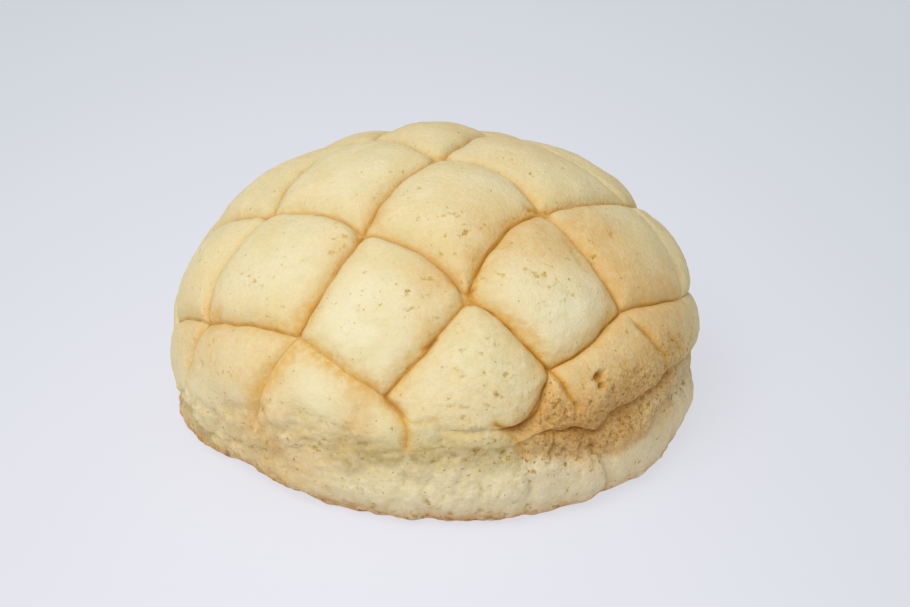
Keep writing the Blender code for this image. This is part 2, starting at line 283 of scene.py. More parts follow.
@dataclass(frozen=True)
class ScoreNet:
    """The net of scores on the flat disc, and the rounded tiles between them."""

    centre: tuple[float, float] = (0.0016, 0.0004)
    rise_pitch: float = 0.0240
    rise_direction: float = -38.5
    fall_pitch: float = 0.0255
    fall_direction: float = -125.0
    reach: int = 2
    crowding: float = 0.45
    edge_height: float = 0.0014
    upper_edge_width: float = 0.0021
    lower_edge_width: float = 0.0041
    edge_steepness: float = 0.72
    lean_reach: float = 0.008
    crown_height: float = 0.0019
    crown_width: float = 0.0115
    upper_corner_radius: float = 0.0036
    lower_corner_radius: float = 0.0018
    # How far each crossing lies off the even net: rise, fall, and the shift
    shifts: Rows = (
        (0, 0, -0.0010, -0.0020), (1, 0, 0.0010, 0.0000), (2, 0, 0.0015, -0.0020), (0, 1, -0.0015, -0.0025),
        (1, 1, 0.0010, -0.0040), (2, 1, 0.0010, -0.0010), (0, 2, -0.0025, -0.0010), (1, 2, -0.0030, -0.0030),
        (2, 2, 0.0001, 0.0074), (-1, 1, -0.0025, -0.0025), (-1, 2, -0.0075, 0.0015),
        (-2, 2, -0.0040, 0.0060), (-2, 1, -0.0035, 0.0010), (2, -1, 0.0045, -0.0040),
        (1, -1, 0.0070, 0.0015), (0, -1, -0.0035, 0.0005), (-1, 0, 0.0030, 0.0020),
        (-1, -1, -0.0020, 0.0015), (-2, -1, 0.0015, -0.0020), (1, -2, 0.0020, -0.0010),
    )
    # How far the middle of a stretch of score bulges to the left of its run: its first crossing, and the bow
    rising_bows: Rows = (
        (0, 0, -0.0016), (1, 0, -0.0020), (2, 0, 0.0016), (0, 1, 0.0008), (1, 1, 0.0014), (2, 1, 0.0070),
        (-1, 0, -0.0045), (-1, 1, -0.0028), (1, -1, 0.0015), (2, -1, 0.0008), (-2, 0, -0.0020),
        (0, -2, 0.0012),
    )
    falling_bows: Rows = (
        (0, 0, 0.0034), (0, 1, 0.0015), (-1, 1, 0.0018), (-1, 2, -0.0005), (0, 2, -0.0005),
        (1, 2, -0.0045), (1, -1, 0.0035), (-1, -1, 0.0015), (0, -2, 0.0020),
    )
    # How much colour each stretch of score took: its first crossing, and the share
    rising_colours: Rows = (
        (0, -1, 0.5), (0, 0, 0.65), (0, 1, 0.95), (1, -1, 0.6), (1, 0, 1.0), (1, 1, 0.72), (2, -1, 0.9),
        (2, 0, 1.0), (2, 1, 0.9), (-1, 0, 0.5), (-1, 1, 0.5),
    )
    falling_colours: Rows = (
        (-1, 0, 0.5), (0, 0, 0.55), (1, 0, 0.75), (-1, 1, 0.5), (0, 1, 0.5), (1, 1, 1.0), (-1, 2, 0.65),
        (0, 2, 0.3), (1, -1, 0.55),
    )
    usual_colour: float = 0.6
    # How deep the scores are at a crossing, where they aren't full depth
    depths: Rows = (
        (2, -1, 0.55), (1, -1, 0.7), (-1, 1, 0.85), (-1, 2, 0.9), (-2, 2, 0.6), (-2, 1, 0.7), (2, 2, 0.8),
        (2, -2, 0.6),
    )

    def grid_of(self, rows: Rows, default: float) -> np.ndarray:
        """A table over the crossings, indexed by rise and fall from the net's first crossing.

        Args:
            rows: Rows of rise, fall and value.
            default: The value at every other crossing.

        Returns:
            The table.
        """
        side = 2 * self.reach + 1
        table = np.full((side, side), default)
        for rise, fall, value in rows:
            table[int(rise) + self.reach, int(fall) + self.reach] = value
        return table

    def crossings(self) -> np.ndarray:
        """Where the crossings lie on the flat disc.

        Returns:
            Their flat places, indexed by rise and fall from the net's first crossing.
        """
        across, down = radians(self.rise_direction), radians(self.fall_direction)
        steps = np.arange(-self.reach, self.reach + 1)
        rise, fall = np.meshgrid(steps, steps, indexing="ij")
        x = self.centre[0] + rise * self.rise_pitch * cos(across) + fall * self.fall_pitch * cos(down)
        y = self.centre[1] + rise * self.rise_pitch * sin(across) + fall * self.fall_pitch * sin(down)
        places = np.stack([x, y], axis=-1)
        for rise_at, fall_at, shift_x, shift_y in self.shifts:
            places[int(rise_at) + self.reach, int(fall_at) + self.reach] += (shift_x, shift_y)
        return places

    def crowd(self, share: np.ndarray) -> np.ndarray:
        """Moves the steps across a tile towards its two scores."""
        return share - self.crowding * np.sin(2.0 * pi * share) / (2.0 * pi)

    @staticmethod
    def bowed(start: np.ndarray, end: np.ndarray, bow: np.ndarray, share: np.ndarray) -> np.ndarray:
        """Points on stretches of score between two crossings.

        Args:
            start: The crossings at which the stretches start.
            end: The crossings at which they end.
            bow: How far the middle of each stretch bulges to the left of its run.
            share: How far along its stretch each point is.

        Returns:
            The flat points.
        """
        straight = end - start
        left = np.stack([-straight[:, 1], straight[:, 0]], axis=1)
        left /= np.hypot(*left.T)[:, None]
        swell = 4.0 * share * (1.0 - share) * bow
        return start + share[:, None] * straight + swell[:, None] * left

    def place(self, rise: np.ndarray, fall: np.ndarray) -> NetPlaces:
        """Where places in the net lie.

        Args:
            rise: Their places across the rising scores.
            fall: Their places across the falling scores.

        Returns:
            The flat points, their distances from the nearest rising and from the nearest falling score, how
            much further down the side they are than the middle of their tile, and the nearest score's colour.
        """
        column = np.clip(np.floor(rise), -self.reach, self.reach - 1).astype(int)
        row = np.clip(np.floor(fall), -self.reach, self.reach - 1).astype(int)
        across, down = self.crowd(rise - column), self.crowd(fall - row)
        column += self.reach
        row += self.reach
        places = self.crossings()
        rising = self.grid_of(self.rising_bows, 0.0)
        falling = self.grid_of(self.falling_bows, 0.0)
        near_left, near_right = places[column, row], places[column + 1, row]
        far_left, far_right = places[column, row + 1], places[column + 1, row + 1]
        left = self.bowed(near_left, far_left, rising[column, row], down)
        right = self.bowed(near_right, far_right, rising[column + 1, row], down)
        top = self.bowed(near_left, near_right, falling[column, row], across)
        bottom = self.bowed(far_left, far_right, falling[column, row + 1], across)
        across_share, down_share = across[:, None], down[:, None]
        between = (near_left * (1.0 - across_share) + near_right * across_share) * (1.0 - down_share)
        between += (far_left * (1.0 - across_share) + far_right * across_share) * down_share
        flat = left * (1.0 - across_share) + right * across_share - between
        flat += top * (1.0 - down_share) + bottom * down_share
        from_rising = np.minimum(across, 1.0 - across) * np.hypot(*(right - left).T)
        from_falling = np.minimum(down, 1.0 - down) * np.hypot(*(bottom - top).T)
        middle = 0.25 * (near_left + near_right + far_left + far_right)
        lean = np.hypot(*flat.T) - np.hypot(*middle.T)
        rising_colour = self.grid_of(self.rising_colours, self.usual_colour)
        falling_colour = self.grid_of(self.falling_colours, self.usual_colour)
        colour = np.where(from_rising < from_falling,
                          rising_colour[column + (across > 0.5), row],
                          falling_colour[column, row + (down > 0.5)])
        return NetPlaces(flat, from_rising, from_falling, lean, colour)

    def depth(self, rise: np.ndarray, fall: np.ndarray) -> np.ndarray:
        """How deep the scores are near places in the net, from the four crossings around each.

        Args:
            rise: The places across the rising scores.
            fall: The places across the falling scores.

        Returns:
            The shares of the full depth.
        """
        table = self.grid_of(self.depths, 1.0)
        column = np.clip(np.floor(rise), -self.reach, self.reach - 1).astype(int)
        row = np.clip(np.floor(fall), -self.reach, self.reach - 1).astype(int)
        across, down = rise - column, fall - row
        column += self.reach
        row += self.reach
        near = table[column, row] * (1.0 - across) + table[column + 1, row] * across
        far = table[column, row + 1] * (1.0 - across) + table[column + 1, row + 1] * across
        return near * (1.0 - down) + far * down

    def lowness(self, lean: np.ndarray) -> np.ndarray:
        """How far points are on the lower edge of their tile, from 0 at its upper edge to 1."""
        return ease(0.5 + 0.5 * lean / self.lean_reach)

    def rounded_gap(self, from_rising: np.ndarray, from_falling: np.ndarray,
                    lowness: np.ndarray | float) -> np.ndarray:
        """The distance of a tile's points from its edge, which goes round the tile's corners in an arc.

        Args:
            from_rising: Distances from the nearest rising score.
            from_falling: Distances from the nearest falling score.
            lowness: How far the points are on the tile's lower edge.

        Returns:
            The distances.
        """
        radius = self.upper_corner_radius + (self.lower_corner_radius - self.upper_corner_radius) * lowness
        nearest = np.minimum(from_rising, from_falling)
        short = np.hypot(np.maximum(radius - from_rising, 0.0), np.maximum(radius - from_falling, 0.0))
        return np.where(nearest < radius, np.maximum(radius - short, 0.0), nearest)

    def fall_of_tile(self, gap: np.ndarray, lowness: np.ndarray | float,
                     *from_scores: np.ndarray) -> np.ndarray:
        """How far a tile's surface lies below its crown.

        Args:
            gap: Distances from the tile's edge, round its corners.
            lowness: How far the points are on its lower edge.
            from_scores: Distances from each of the scores that the crown falls towards.

        Returns:
            The depths.
        """
        width = self.upper_edge_width + (self.lower_edge_width - self.upper_edge_width) * lowness
        edge = 1.0 - np.minimum(gap / width, 1.0)
        side = 1.0 - (1.0 - edge * edge) ** self.edge_steepness
        crown = np.ones_like(gap)
        for from_score in from_scores:
            crown = crown * (1.0 - (1.0 - np.minimum(from_score / self.crown_width, 1.0)) ** 2)
        return self.edge_height * side + self.crown_height * (1.0 - crown)


@dataclass(frozen=True)
class Skirt:
    """The side below the net: the scores' tails, the crust's lip, the crease under it, and the foot."""

    outline: SideOutline = SideOutline()
    net: ScoreNet = ScoreNet()
    tail_swing: float = 1.7
    tail_colour: float = 0.8
    # How far the corners and the edge of the crust at a tail are shaped like those of a tile's lower edge
    tail_corner_lowness: float = 0.2
    tail_edge_lowness: float = 0.4
    # How near a place has to be to the net's border, and to a whole number, to count as on it
    border_tolerance: float = 1e-4
    whole_tolerance: float = 1e-5
    crust_rings: int = 10
    foot_rings: int = 9
    ring_crowding: float = 1.3
    # The azimuths that the scores turn towards, from each crossing of the net's border: rise, fall, azimuth
    border_azimuths: Rows = (
        (-2, 2, -178.0), (-1, 2, -160.0), (0, 2, -137.0), (1, 2, -95.0), (2, 2, -78.0), (2, 1, -55.0),
        (2, 0, -29.0), (2, -1, -8.0), (2, -2, 11.0), (1, -2, 33.0), (0, -2, 54.0), (-1, -2, 74.0),
        (-2, -2, 95.0), (-2, -1, 116.0), (-2, 0, 140.0), (-2, 1, 162.0),
    )
    # How far the scores run on below the net, and how deep they are there: rise, fall, reach, depth
    border_tails: Rows = (
        (-1, 2, 0.018, 0.8), (0, 2, 0.028, 0.5), (1, 2, 0.014, 0.0), (2, 2, 0.006, 0.0), (2, 1, 0.012, 0.5),
        (2, 0, 0.022, 0.35), (2, -1, 0.012, 0.5), (2, -2, 0.008, 0.7), (1, -2, 0.018, 0.8),
        (0, -2, 0.028, 0.8), (-1, -2, 0.016, 0.8), (-2, -2, 0.006, 0.7), (-2, -1, 0.018, 0.8),
        (-2, 0, 0.028, 0.8), (-2, 1, 0.018, 0.7), (-2, 2, 0.008, 0.7),
    )
    crease_heights: Table = (
        (-174.0, 0.0088), (-160.0, 0.0075), (-147.0, 0.0064), (-134.0, 0.0088), (-119.0, 0.0145),
        (-105.0, 0.0162), (-96.0, 0.0168), (-88.0, 0.0180), (-75.0, 0.0184), (-66.0, 0.0205),
        (-61.0, 0.0196), (-55.0, 0.0174), (-49.0, 0.0204), (-30.0, 0.0208), (-18.0, 0.0192),
        (-10.0, 0.0168), (0.0, 0.0135), (60.0, 0.0085), (120.0, 0.0065),
    )
    crease_depths: Table = (
        (-174.0, 0.0040), (-160.0, 0.0022), (-146.0, 0.0005), (-122.0, 0.0006), (-103.0, 0.0015),
        (-90.0, 0.0016), (-77.0, 0.0018), (-69.0, 0.0020), (-63.0, 0.0026), (-56.0, 0.0034), (-46.0, 0.0034),
        (-37.0, 0.0021), (-27.0, 0.0026), (-14.0, 0.0022), (60.0, 0.0022), (130.0, 0.0018),
    )
    crease_wander: float = 0.0012
    crease_wander_size: float = 0.009
    crease_clearance: float = 0.0022
    lip_curl_width: float = 0.0090
    lip_edge_width: float = 0.0036
    # How much of the lip's fall is a rounded edge just over the crease, round the bun
    lip_edge_shares: Table = (
        (-160.0, 0.5), (-122.0, 0.3), (-108.0, 0.1), (-84.0, 0.1), (-72.0, 0.5), (90.0, 0.55),
    )
    # How far the lip hangs down over the crease, in depths of the crease, and how wide the crease's floor is
    lip_droops: Table = (
        (-174.0, 0.4), (-120.0, 0.2), (-104.0, 0.05), (-80.0, 0.05), (-70.0, 0.35), (-62.0, 0.5),
        (-40.0, 0.5), (-20.0, 0.15), (90.0, 0.4),
    )
    droop_rise: float = 0.0012
    droop_width: float = 0.0016
    crease_floors: Table = (
        (-174.0, 0.0003), (-120.0, 0.0006), (-104.0, 0.0018), (-80.0, 0.0020), (-68.0, 0.0003),
        (-35.0, 0.0003), (-14.0, 0.0030), (15.0, 0.0030), (60.0, 0.0003),
    )
    # The lower edge of the second fold of crust, under the lip on the right: azimuth and height
    ledge_heights: Table = (
        (-76.0, 0.0170), (-66.0, 0.0155), (-58.0, 0.0132), (-50.0, 0.0114), (-42.0, 0.0123),
        (-34.0, 0.0150), (-22.0, 0.0150), (-8.0, 0.0120),
    )
    ledge_shares: Table = (
        (-180.0, 0.0), (-75.0, 0.0), (-66.0, 1.0), (-34.0, 1.0), (-14.0, 0.3), (0.0, 0.0), (90.0, 0.0),
    )
    ledge_least_gap: float = 0.002
    ledge_bulge: float = 0.0010
    # How far above the ledge its bulge is, in gaps from the crease down to the ledge, and how wide
    ledge_bulge_share: float = 0.4
    ledge_notch: float = 0.0007
    ledge_notch_width: float = 0.0022
    foot_spreads: Table = (
        (-172.0, 0.0026), (-158.0, 0.0006), (-141.0, -0.0034), (-124.0, -0.0031), (-112.0, -0.0025),
        (-92.0, -0.0010), (-75.0, 0.0000), (-40.0, 0.0014), (-18.0, 0.0002), (0.0, -0.0006), (60.0, -0.0005),
        (120.0, 0.0004),
    )
    # How high up the side a foot that is drawn in, and one that is spread, still count
    foot_tuck_height: float = 0.031
    foot_spread_height: float = 0.0175
    foot_swell: float = 0.0085
    foot_lump_size: float = 0.0085
    foot_lump_depth: float = 0.0008
    # The broad cracks in the foot: azimuth and depth
    foot_cracks: Table = (
        (-26.0, 0.0006), (-51.0, 0.0009), (-70.0, 0.0006), (-92.0, 0.0006), (40.0, 0.0008), (110.0, 0.0007),
    )
    foot_crack_width: float = 0.0020
    crag_size: float = 0.0070
    crag_depth: float = 0.0006
    crags_start: float = 0.055
    crags_full: float = 0.070
    swell_size: float = 0.030
    swell_depth: float = 0.0005

    def crease_length(self, azimuth: np.ndarray) -> np.ndarray:
        """The length down the side at which the crust ends.

        Args:
            azimuth: Where round the bun, in degrees.

        Returns:
            The lengths.
        """
        angle = np.radians(azimuth)
        places = np.stack([np.cos(angle), np.sin(angle), np.zeros_like(angle)], axis=1) * self.outline.radius
        wander = self.crease_wander * lump(places, self.crease_wander_size, Pattern.CREASE_WANDER)
        return self.outline.length_at(around(self.crease_heights, azimuth)) + wander

    def ledge_gap(self, azimuth: np.ndarray) -> np.ndarray:
        """The length from the crease down to the lower edge of the second fold.

        Args:
            azimuth: Where round the bun, in degrees.

        Returns:
            The lengths.
        """
        ledge, crease = around(self.ledge_heights, azimuth), around(self.crease_heights, azimuth)
        gap = self.outline.length_at(ledge) - self.outline.length_at(crease)
        return np.maximum(gap, self.ledge_least_gap)

    def column(self, start: np.ndarray, end_azimuth: np.ndarray, drop: np.ndarray) -> np.ndarray:
        """Flat points on the lines down the side.

        Args:
            start: Where each line leaves the net's border.
            end_azimuth: The azimuth that each line turns towards.
            drop: How far down each point is.

        Returns:
            The flat points.
        """
        on_crust = np.clip(drop, 0.0, 1.0)
        on_foot = np.clip(drop - 1.0, 0.0, 1.0)
        rings = self.crust_rings * (1.0 - (1.0 - on_crust) ** (1.0 / self.ring_crowding))
        rings += self.foot_rings * on_foot ** (1.0 / self.ring_crowding)
        way = np.minimum(self.tail_swing * rings / (self.crust_rings + self.foot_rings), 1.0)
        start_azimuth = np.degrees(np.arctan2(start[:, 1], start[:, 0]))
        azimuth = start_azimuth + turn_between(start_azimuth, end_azimuth) * way
        start_length = np.hypot(*start.T)
        crease = np.maximum(self.crease_length(azimuth), start_length + self.crease_clearance)
        length = start_length + (crease - start_length) * on_crust
        length += (self.outline.lengths()[-1] - crease) * on_foot
        angle = np.radians(azimuth)
        return np.stack([length * np.cos(angle), length * np.sin(angle)], axis=1)

    def lay(self, rise: np.ndarray, fall: np.ndarray,
            drop: np.ndarray) -> tuple[np.ndarray, np.ndarray, np.ndarray, np.ndarray]:
        """Lays places below the net out on the flat disc, with the tails of the scores.

        Args:
            rise: Their places on the net's border.
            fall: The same across the falling scores.
            drop: How far down they are.

        Returns:
            The flat points, how far each lies below the tile's crown, its distance from the nearest tail or
            border score, and how much colour that score took there.
        """
        net = self.net
        border = net.place(rise, fall)
        start = border.flat
        along_fall = np.abs(np.abs(rise) - net.reach) < self.border_tolerance
        run = np.where(along_fall, fall, rise)
        low, high = np.floor(run + self.whole_tolerance), np.ceil(run - self.whole_tolerance)
        share = np.where(high > low, net.crowd(run - low), 0.0)
        azimuths = net.grid_of(self.border_azimuths, 0.0)
        reaches = net.grid_of(tuple(row[:3] for row in self.border_tails), 0.0)
        tail_depths = net.grid_of(tuple((row[0], row[1], row[3]) for row in self.border_tails), 0.0)
        places = net.crossings()
        ends = []
        for whole in (low, high):
            column = np.where(along_fall, np.round(rise), whole).astype(int) + net.reach
            row = np.where(along_fall, whole, np.round(fall)).astype(int) + net.reach
            ends.append((column, row))
        first, second = azimuths[ends[0]], azimuths[ends[1]]
        flat = self.column(start, first + share * turn_between(first, second), drop)
        from_border = np.hypot(*(flat - start).T)
        scored = net.fall_of_tile(from_border, 0.0, from_border)
        deepest = scored.copy()
        border_depth = net.depth(rise, fall)
        gap, colour = from_border.copy(), border_depth * border.colour
        for end in ends:
            on_score = self.column(places[end], azimuths[end], drop)
            gone = np.hypot(*(on_score - places[end]).T)
            fade = tail_depths[end] * np.maximum(0.0, 1.0 - (gone / reaches[end]) ** 2)
            from_tail = np.hypot(*(flat - on_score).T)
            rounded = net.rounded_gap(from_tail, from_border, self.tail_corner_lowness)
            cut = net.fall_of_tile(rounded, self.tail_edge_lowness, from_tail, from_border)
            deepest = np.maximum(deepest, scored + fade * (cut - scored))
            nearer = from_tail < gap
            gap = np.where(nearer, from_tail, gap)
            colour = np.where(nearer, self.tail_colour * fade, colour)
        return flat, border_depth * deepest, gap, colour

    def relief(self, azimuth: np.ndarray, below: np.ndarray, places: np.ndarray) -> np.ndarray:
        """How far the side stands in or out near and below the crease.

        Args:
            azimuth: The azimuths of the points, in degrees.
            below: The lengths past the crease.
            places: The points on the bun without relief.

        Returns:
            The distances, outwards.
        """
        depth = around(self.crease_depths, azimuth)
        edge = 1.0 - np.minimum(np.maximum(-below, 0.0) / self.lip_edge_width, 1.0)
        curl = 1.0 - np.minimum(np.maximum(-below, 0.0) / self.lip_curl_width, 1.0)
        edge_share = around(self.lip_edge_shares, azimuth)
        lip = edge_share * (1.0 - np.sqrt(1.0 - edge * edge)) + (1.0 - edge_share) * curl * curl
        swollen = ease((below - around(self.crease_floors, azimuth)) / self.foot_swell)
        foot = depth * (swollen - 1.0)
        ledge, ledge_gap = around(self.ledge_shares, azimuth), self.ledge_gap(azimuth)
        under_ledge = below - ledge_gap
        bulge_reach = self.ledge_bulge_share * ledge_gap
        foot += ledge * self.ledge_bulge * hill(under_ledge + bulge_reach, bulge_reach)
        foot -= ledge * self.ledge_notch * hill(under_ledge, self.ledge_notch_width)
        for crack_azimuth, crack_depth in self.foot_cracks:
            away = np.radians(turn_between(crack_azimuth, azimuth)) * self.outline.radius
            foot -= crack_depth * swollen * hill(away, self.foot_crack_width)
        foot += swollen * self.foot_lump_depth * lump(places, self.foot_lump_size, Pattern.FOOT_LUMPS)
        return np.where(below < 0.0, -depth * lip, foot)


@dataclass(frozen=True)
class Furrow:
    """A split, crack or wrinkle along a bent line on the flat disc, in millimetres."""

    line: Rows
    width: float
    depth: float
    amber: float = 0.0
    dark: float = 0.0


@dataclass
class Furrowed:
    """The furrows at flat points: depth, amber, the gap to the nearest dark one, and how dark it is."""

    depth: np.ndarray
    amber: np.ndarray
    line_gap: np.ndarray
    dark: np.ndarray


@dataclass
class Roughness:
    """The unevenness at points: how far they stand out, and how much crag, seam and valley is there."""

    out: np.ndarray
    craggy: np.ndarray
    seams: np.ndarray
    valleys: np.ndarray


@dataclass(frozen=True)
class Patches:
    """Round places on the flat disc: x, y and reach in millimetres, and an amount."""

    rows: Rows

    def at(self, flat: np.ndarray) -> np.ndarray:
        """The sum of the patches.

        Args:
            flat: Flat points, one a row.

        Returns:
            One amount a point.
        """
        total = np.zeros(len(flat))
        for x, y, reach, amount in self.rows:
            away = np.hypot(flat[:, 0] - x * MILLIMETRE, flat[:, 1] - y * MILLIMETRE)
            total += amount * hill(away, reach * MILLIMETRE)
        return total


@dataclass(frozen=True)
class Cobbles:
    """A packing of rounded lumps of one size, with seams between them."""

    size: float
    depth: float
    pattern: Pattern


@dataclass(frozen=True)
class Crumb:
    """The relief that is finer than the tiles: pits, splits, wrinkles, crags, lumps and grain."""

    # Flat place, radius and depth in millimetres
    pits: Rows = (
        (0.8, -24.9, 0.5, 0.3), (5.8, -26.8, 0.7, 0.4), (4.2, -19.8, 0.55, 0.3), (9.3, -28.8, 0.6, 0.35),
        (-16.0, -24.6, 0.7, 0.5), (-9.6, -11.6, 0.7, 0.4), (-27.1, -27.5, 0.6, 0.35),
        (-34.1, -24.7, 0.5, 0.3), (-39.1, -28.5, 0.6, 0.35), (-18.2, -34.0, 0.6, 0.35),
        (-5.3, -39.3, 0.7, 0.4), (-2.2, -39.1, 0.55, 0.35), (-3.0, -42.7, 0.6, 0.35), (22.3, -27.2, 0.5, 0.3),
        (26.3, -33.0, 0.5, 0.3), (11.1, 2.3, 0.8, 0.4), (35.1, -15.4, 0.8, 0.4), (36.4, -48.6, 1.15, 1.7),
        (37.2, -49.9, 0.95, 1.3), (49.3, -40.1, 0.7, 0.5), (51.0, -44.9, 0.7, 0.5), (43.9, -47.2, 0.5, 0.4),
        (55.7, -40.0, 0.6, 0.4), (40.9, -51.5, 0.6, 0.45), (28.3, -57.0, 0.5, 0.3), (7.1, -56.5, 0.6, 0.35),
        (5.8, -63.4, 0.6, 0.3), (-57.0, -33.5, 1.0, 0.7), (-52.0, -44.2, 0.55, 0.5),
        (-16.0, -63.8, 0.6, 0.4), (-18.0, -66.0, 0.7, 0.45), (-16.7, -71.6, 0.9, 0.6),
        (-14.8, -72.4, 0.7, 0.5), (-30.2, -70.3, 0.6, 0.45), (-7.8, -73.7, 0.7, 0.5), (-1.4, -73.2, 0.9, 0.5),
        (5.0, -72.0, 0.8, 0.6), (10.5, -69.5, 1.1, 0.8), (17.7, -69.8, 0.9, 0.7), (26.1, -68.3, 0.7, 0.5),
        (29.4, -67.7, 0.7, 0.5), (30.5, -65.5, 0.8, 0.7), (34.0, -65.4, 0.8, 0.6), (24.6, -72.9, 0.8, 0.5),
        (36.4, -67.0, 0.8, 0.5), (44.2, -61.8, 1.1, 0.9), (39.2, -63.0, 0.8, 0.6), (58.8, -56.4, 0.7, 0.4),
        (47.9, -56.6, 0.6, 0.5), (50.6, -53.4, 0.6, 0.5), (54.3, -50.3, 0.6, 0.5), (-2.8, -81.7, 0.8, 0.6),
        (14.2, -83.2, 0.8, 0.6), (29.5, -79.5, 1.0, 0.7), (5.0, -85.0, 0.9, 0.6), (-34.4, -75.4, 0.9, 0.6),
        (-19.4, -82.5, 0.8, 0.6),
    )
    # Pits deeper than the first are cut at full depth, and those deeper than the second are holes, painted
    # amber and dark, partly baked colour and partly painted shade
    deep_pit: float = 0.5
    hole_depth: float = 0.95
    shallow_share: float = 0.3
    pit_flatness: float = 1.3
    pit_steepness: int = 4
    pit_stain: float = 1.4
    amber_spread: float = 0.5
    furrows: tuple[Furrow, ...] = (
        # The broken lower edge of the front tile, and the shelf below it
        Furrow(((-7.1, -64.7), (-3.2, -64.4), (0.0, -64.2)), 0.7, 0.35, 0.45),
        Furrow(((0.3, -64.4), (1.2, -66.5), (1.4, -68.5)), 0.7, 0.35, 0.15),
        Furrow(((14.0, -64.0), (16.0, -64.6), (19.0, -64.6), (21.5, -63.6), (22.8, -61.8), (23.6, -59.6),
                (24.8, -57.0), (25.4, -54.5)), 0.9, 0.8, 0.9, 0.8),
        Furrow(((18.8, -64.6), (19.8, -65.9), (21.6, -67.2), (23.4, -69.4)), 1.0, 0.6, 0.7, 0.4),
        Furrow(((1.8, -66.4), (8.7, -66.1), (15.0, -64.9)), 0.9, 0.45, 0.25),
        # The tails of the scores at the front
        Furrow(((-11.2, -60.2), (-9.0, -61.8), (-7.6, -64.0), (-7.0, -66.5), (-7.4, -69.6)), 1.3, 0.6, 0.9,
               0.35),
        Furrow(((25.6, -51.1), (28.2, -52.8), (31.0, -54.8), (33.4, -56.0)), 0.8, 0.6, 0.9, 0.9),
        # The broad soft score of the left front, and the left lobe's tail and wrinkles
        Furrow(((-30.5, -43.5), (-25.0, -48.0), (-18.5, -53.6), (-13.5, -58.0)), 1.7, 0.35, 0.85),
        Furrow(((-31.0, -43.6), (-31.8, -46.0), (-35.0, -47.4), (-39.0, -48.8), (-42.0, -50.2),
                (-45.0, -51.6)), 1.9, 0.5, 0.8),
        Furrow(((-24.7, -61.1), (-27.9, -61.6), (-31.7, -62.2)), 0.7, 0.4, 0.12),
        Furrow(((-21.5, -66.1), (-25.5, -66.2), (-28.7, -67.5), (-30.2, -70.3)), 0.8, 0.45, 0.12),
        Furrow(((-34.8, -63.5), (-32.6, -65.0), (-36.1, -66.2)), 0.7, 0.45, 0.15),
        Furrow(((-17.2, -61.1), (-18.5, -63.3), (-21.3, -65.2)), 0.8, 0.35, 0.1),
        # The right skirt's tails and slit
        Furrow(((45.2, -32.9), (48.9, -33.3), (51.4, -33.9), (55.0, -32.9)), 0.8, 0.55, 0.8, 0.5),
        Furrow(((53.1, -29.3), (56.5, -28.2), (59.4, -26.8)), 0.7, 0.4, 0.6, 0.3),
        # Dark nicks at the crossings, and a jog in the score beside the front tile
        Furrow(((3.6, -36.6), (5.0, -38.0), (6.4, -38.7), (8.0, -37.8)), 0.8, 0.4, 0.9, 1.0),
        Furrow(((18.6, -15.2), (20.4, -14.2), (22.4, -13.2)), 0.8, 0.35, 0.8, 0.7),
        Furrow(((-2.6, -50.2), (-1.2, -49.4), (0.6, -48.5)), 0.6, 0.35, 0.6, 0.7),
        Furrow(((26.6, -22.6), (27.6, -24.0), (28.6, -26.2), (30.4, -28.0)), 1.0, 0.3, 0.6),
        Furrow(((63.2, -37.3), (66.5, -35.0), (69.0, -33.2)), 0.7, 0.45, 0.1),
        Furrow(((25.0, -34.8), (26.5, -35.6), (28.2, -35.5)), 0.45, 0.35, 0.1),
        # Cracks in the foot
        Furrow(((44.5, -61.6), (47.5, -62.8), (50.5, -64.5), (56.0, -66.0)), 0.7, 0.8, 0.15),
        Furrow(((24.2, -72.6), (27.2, -75.5), (29.4, -78.5)), 0.6, 0.5, 0.1),
        Furrow(((-2.8, -81.5), (-0.8, -84.7)), 0.7, 0.5, 0.2),
    )
    # Where the crust closed over the scores, and how deep it dips there
    healed_depth: float = 0.0003
    healed: Patches = Patches((
        (-5.6, -65.8, 3.0, 0.95), (-2.0, -67.0, 4.5, 0.8), (4.0, -67.5, 6.0, 0.95), (11.0, -67.5, 6.0, 0.95),
        (-24.5, -48.0, 5.0, 0.35), (-17.0, -54.5, 5.0, 0.4),
    ))
    swells: Patches = Patches((
        (12.0, -28.0, 9.0, 0.3), (-12.0, -38.0, 9.0, 0.3), (9.0, -55.0, 9.0, 0.6), (28.0, -33.0, 9.0, 0.5),
        (9.0, -67.0, 5.5, 0.5), (-20.0, -56.0, 9.0, 0.5), (-42.0, -40.0, 9.0, 0.4), (38.0, -53.0, 7.0, 0.9),
    ))
    wander: float = 0.00045
    wander_size: float = 0.0050
    # How near the rim of the underside the wander dies away
    calm_width: float = 0.004
    edge_wander: float = 0.00038
    edge_wander_size: float = 0.0022
    edge_wander_start: float = 0.0006
    edge_wander_reach: float = 0.0022
    knob_size: float = 0.0052
    knob_depth: float = 0.00024
    bubble_size: float = 0.0022
    bubble_depth: float = 0.00009
    grain_size: float = 0.0012
    grain_depth: float = 0.00004
    crag_size: float = 0.0034
    crag_depth: float = 0.00076
    crag_level: float = 0.35
    # How far above the crust's lower edge the crags start, how far below it they thin out, and how much
    crag_start: float = 0.013
    crag_passage: float = 0.012
    crag_end: float = 0.006
    crag_end_passage: float = 0.004
    crag_loss: float = 0.8
    least_crag: float = 0.02
    grit_size: float = 0.0013
    grit_depth: float = 0.00036
    grit_level: float = 0.5
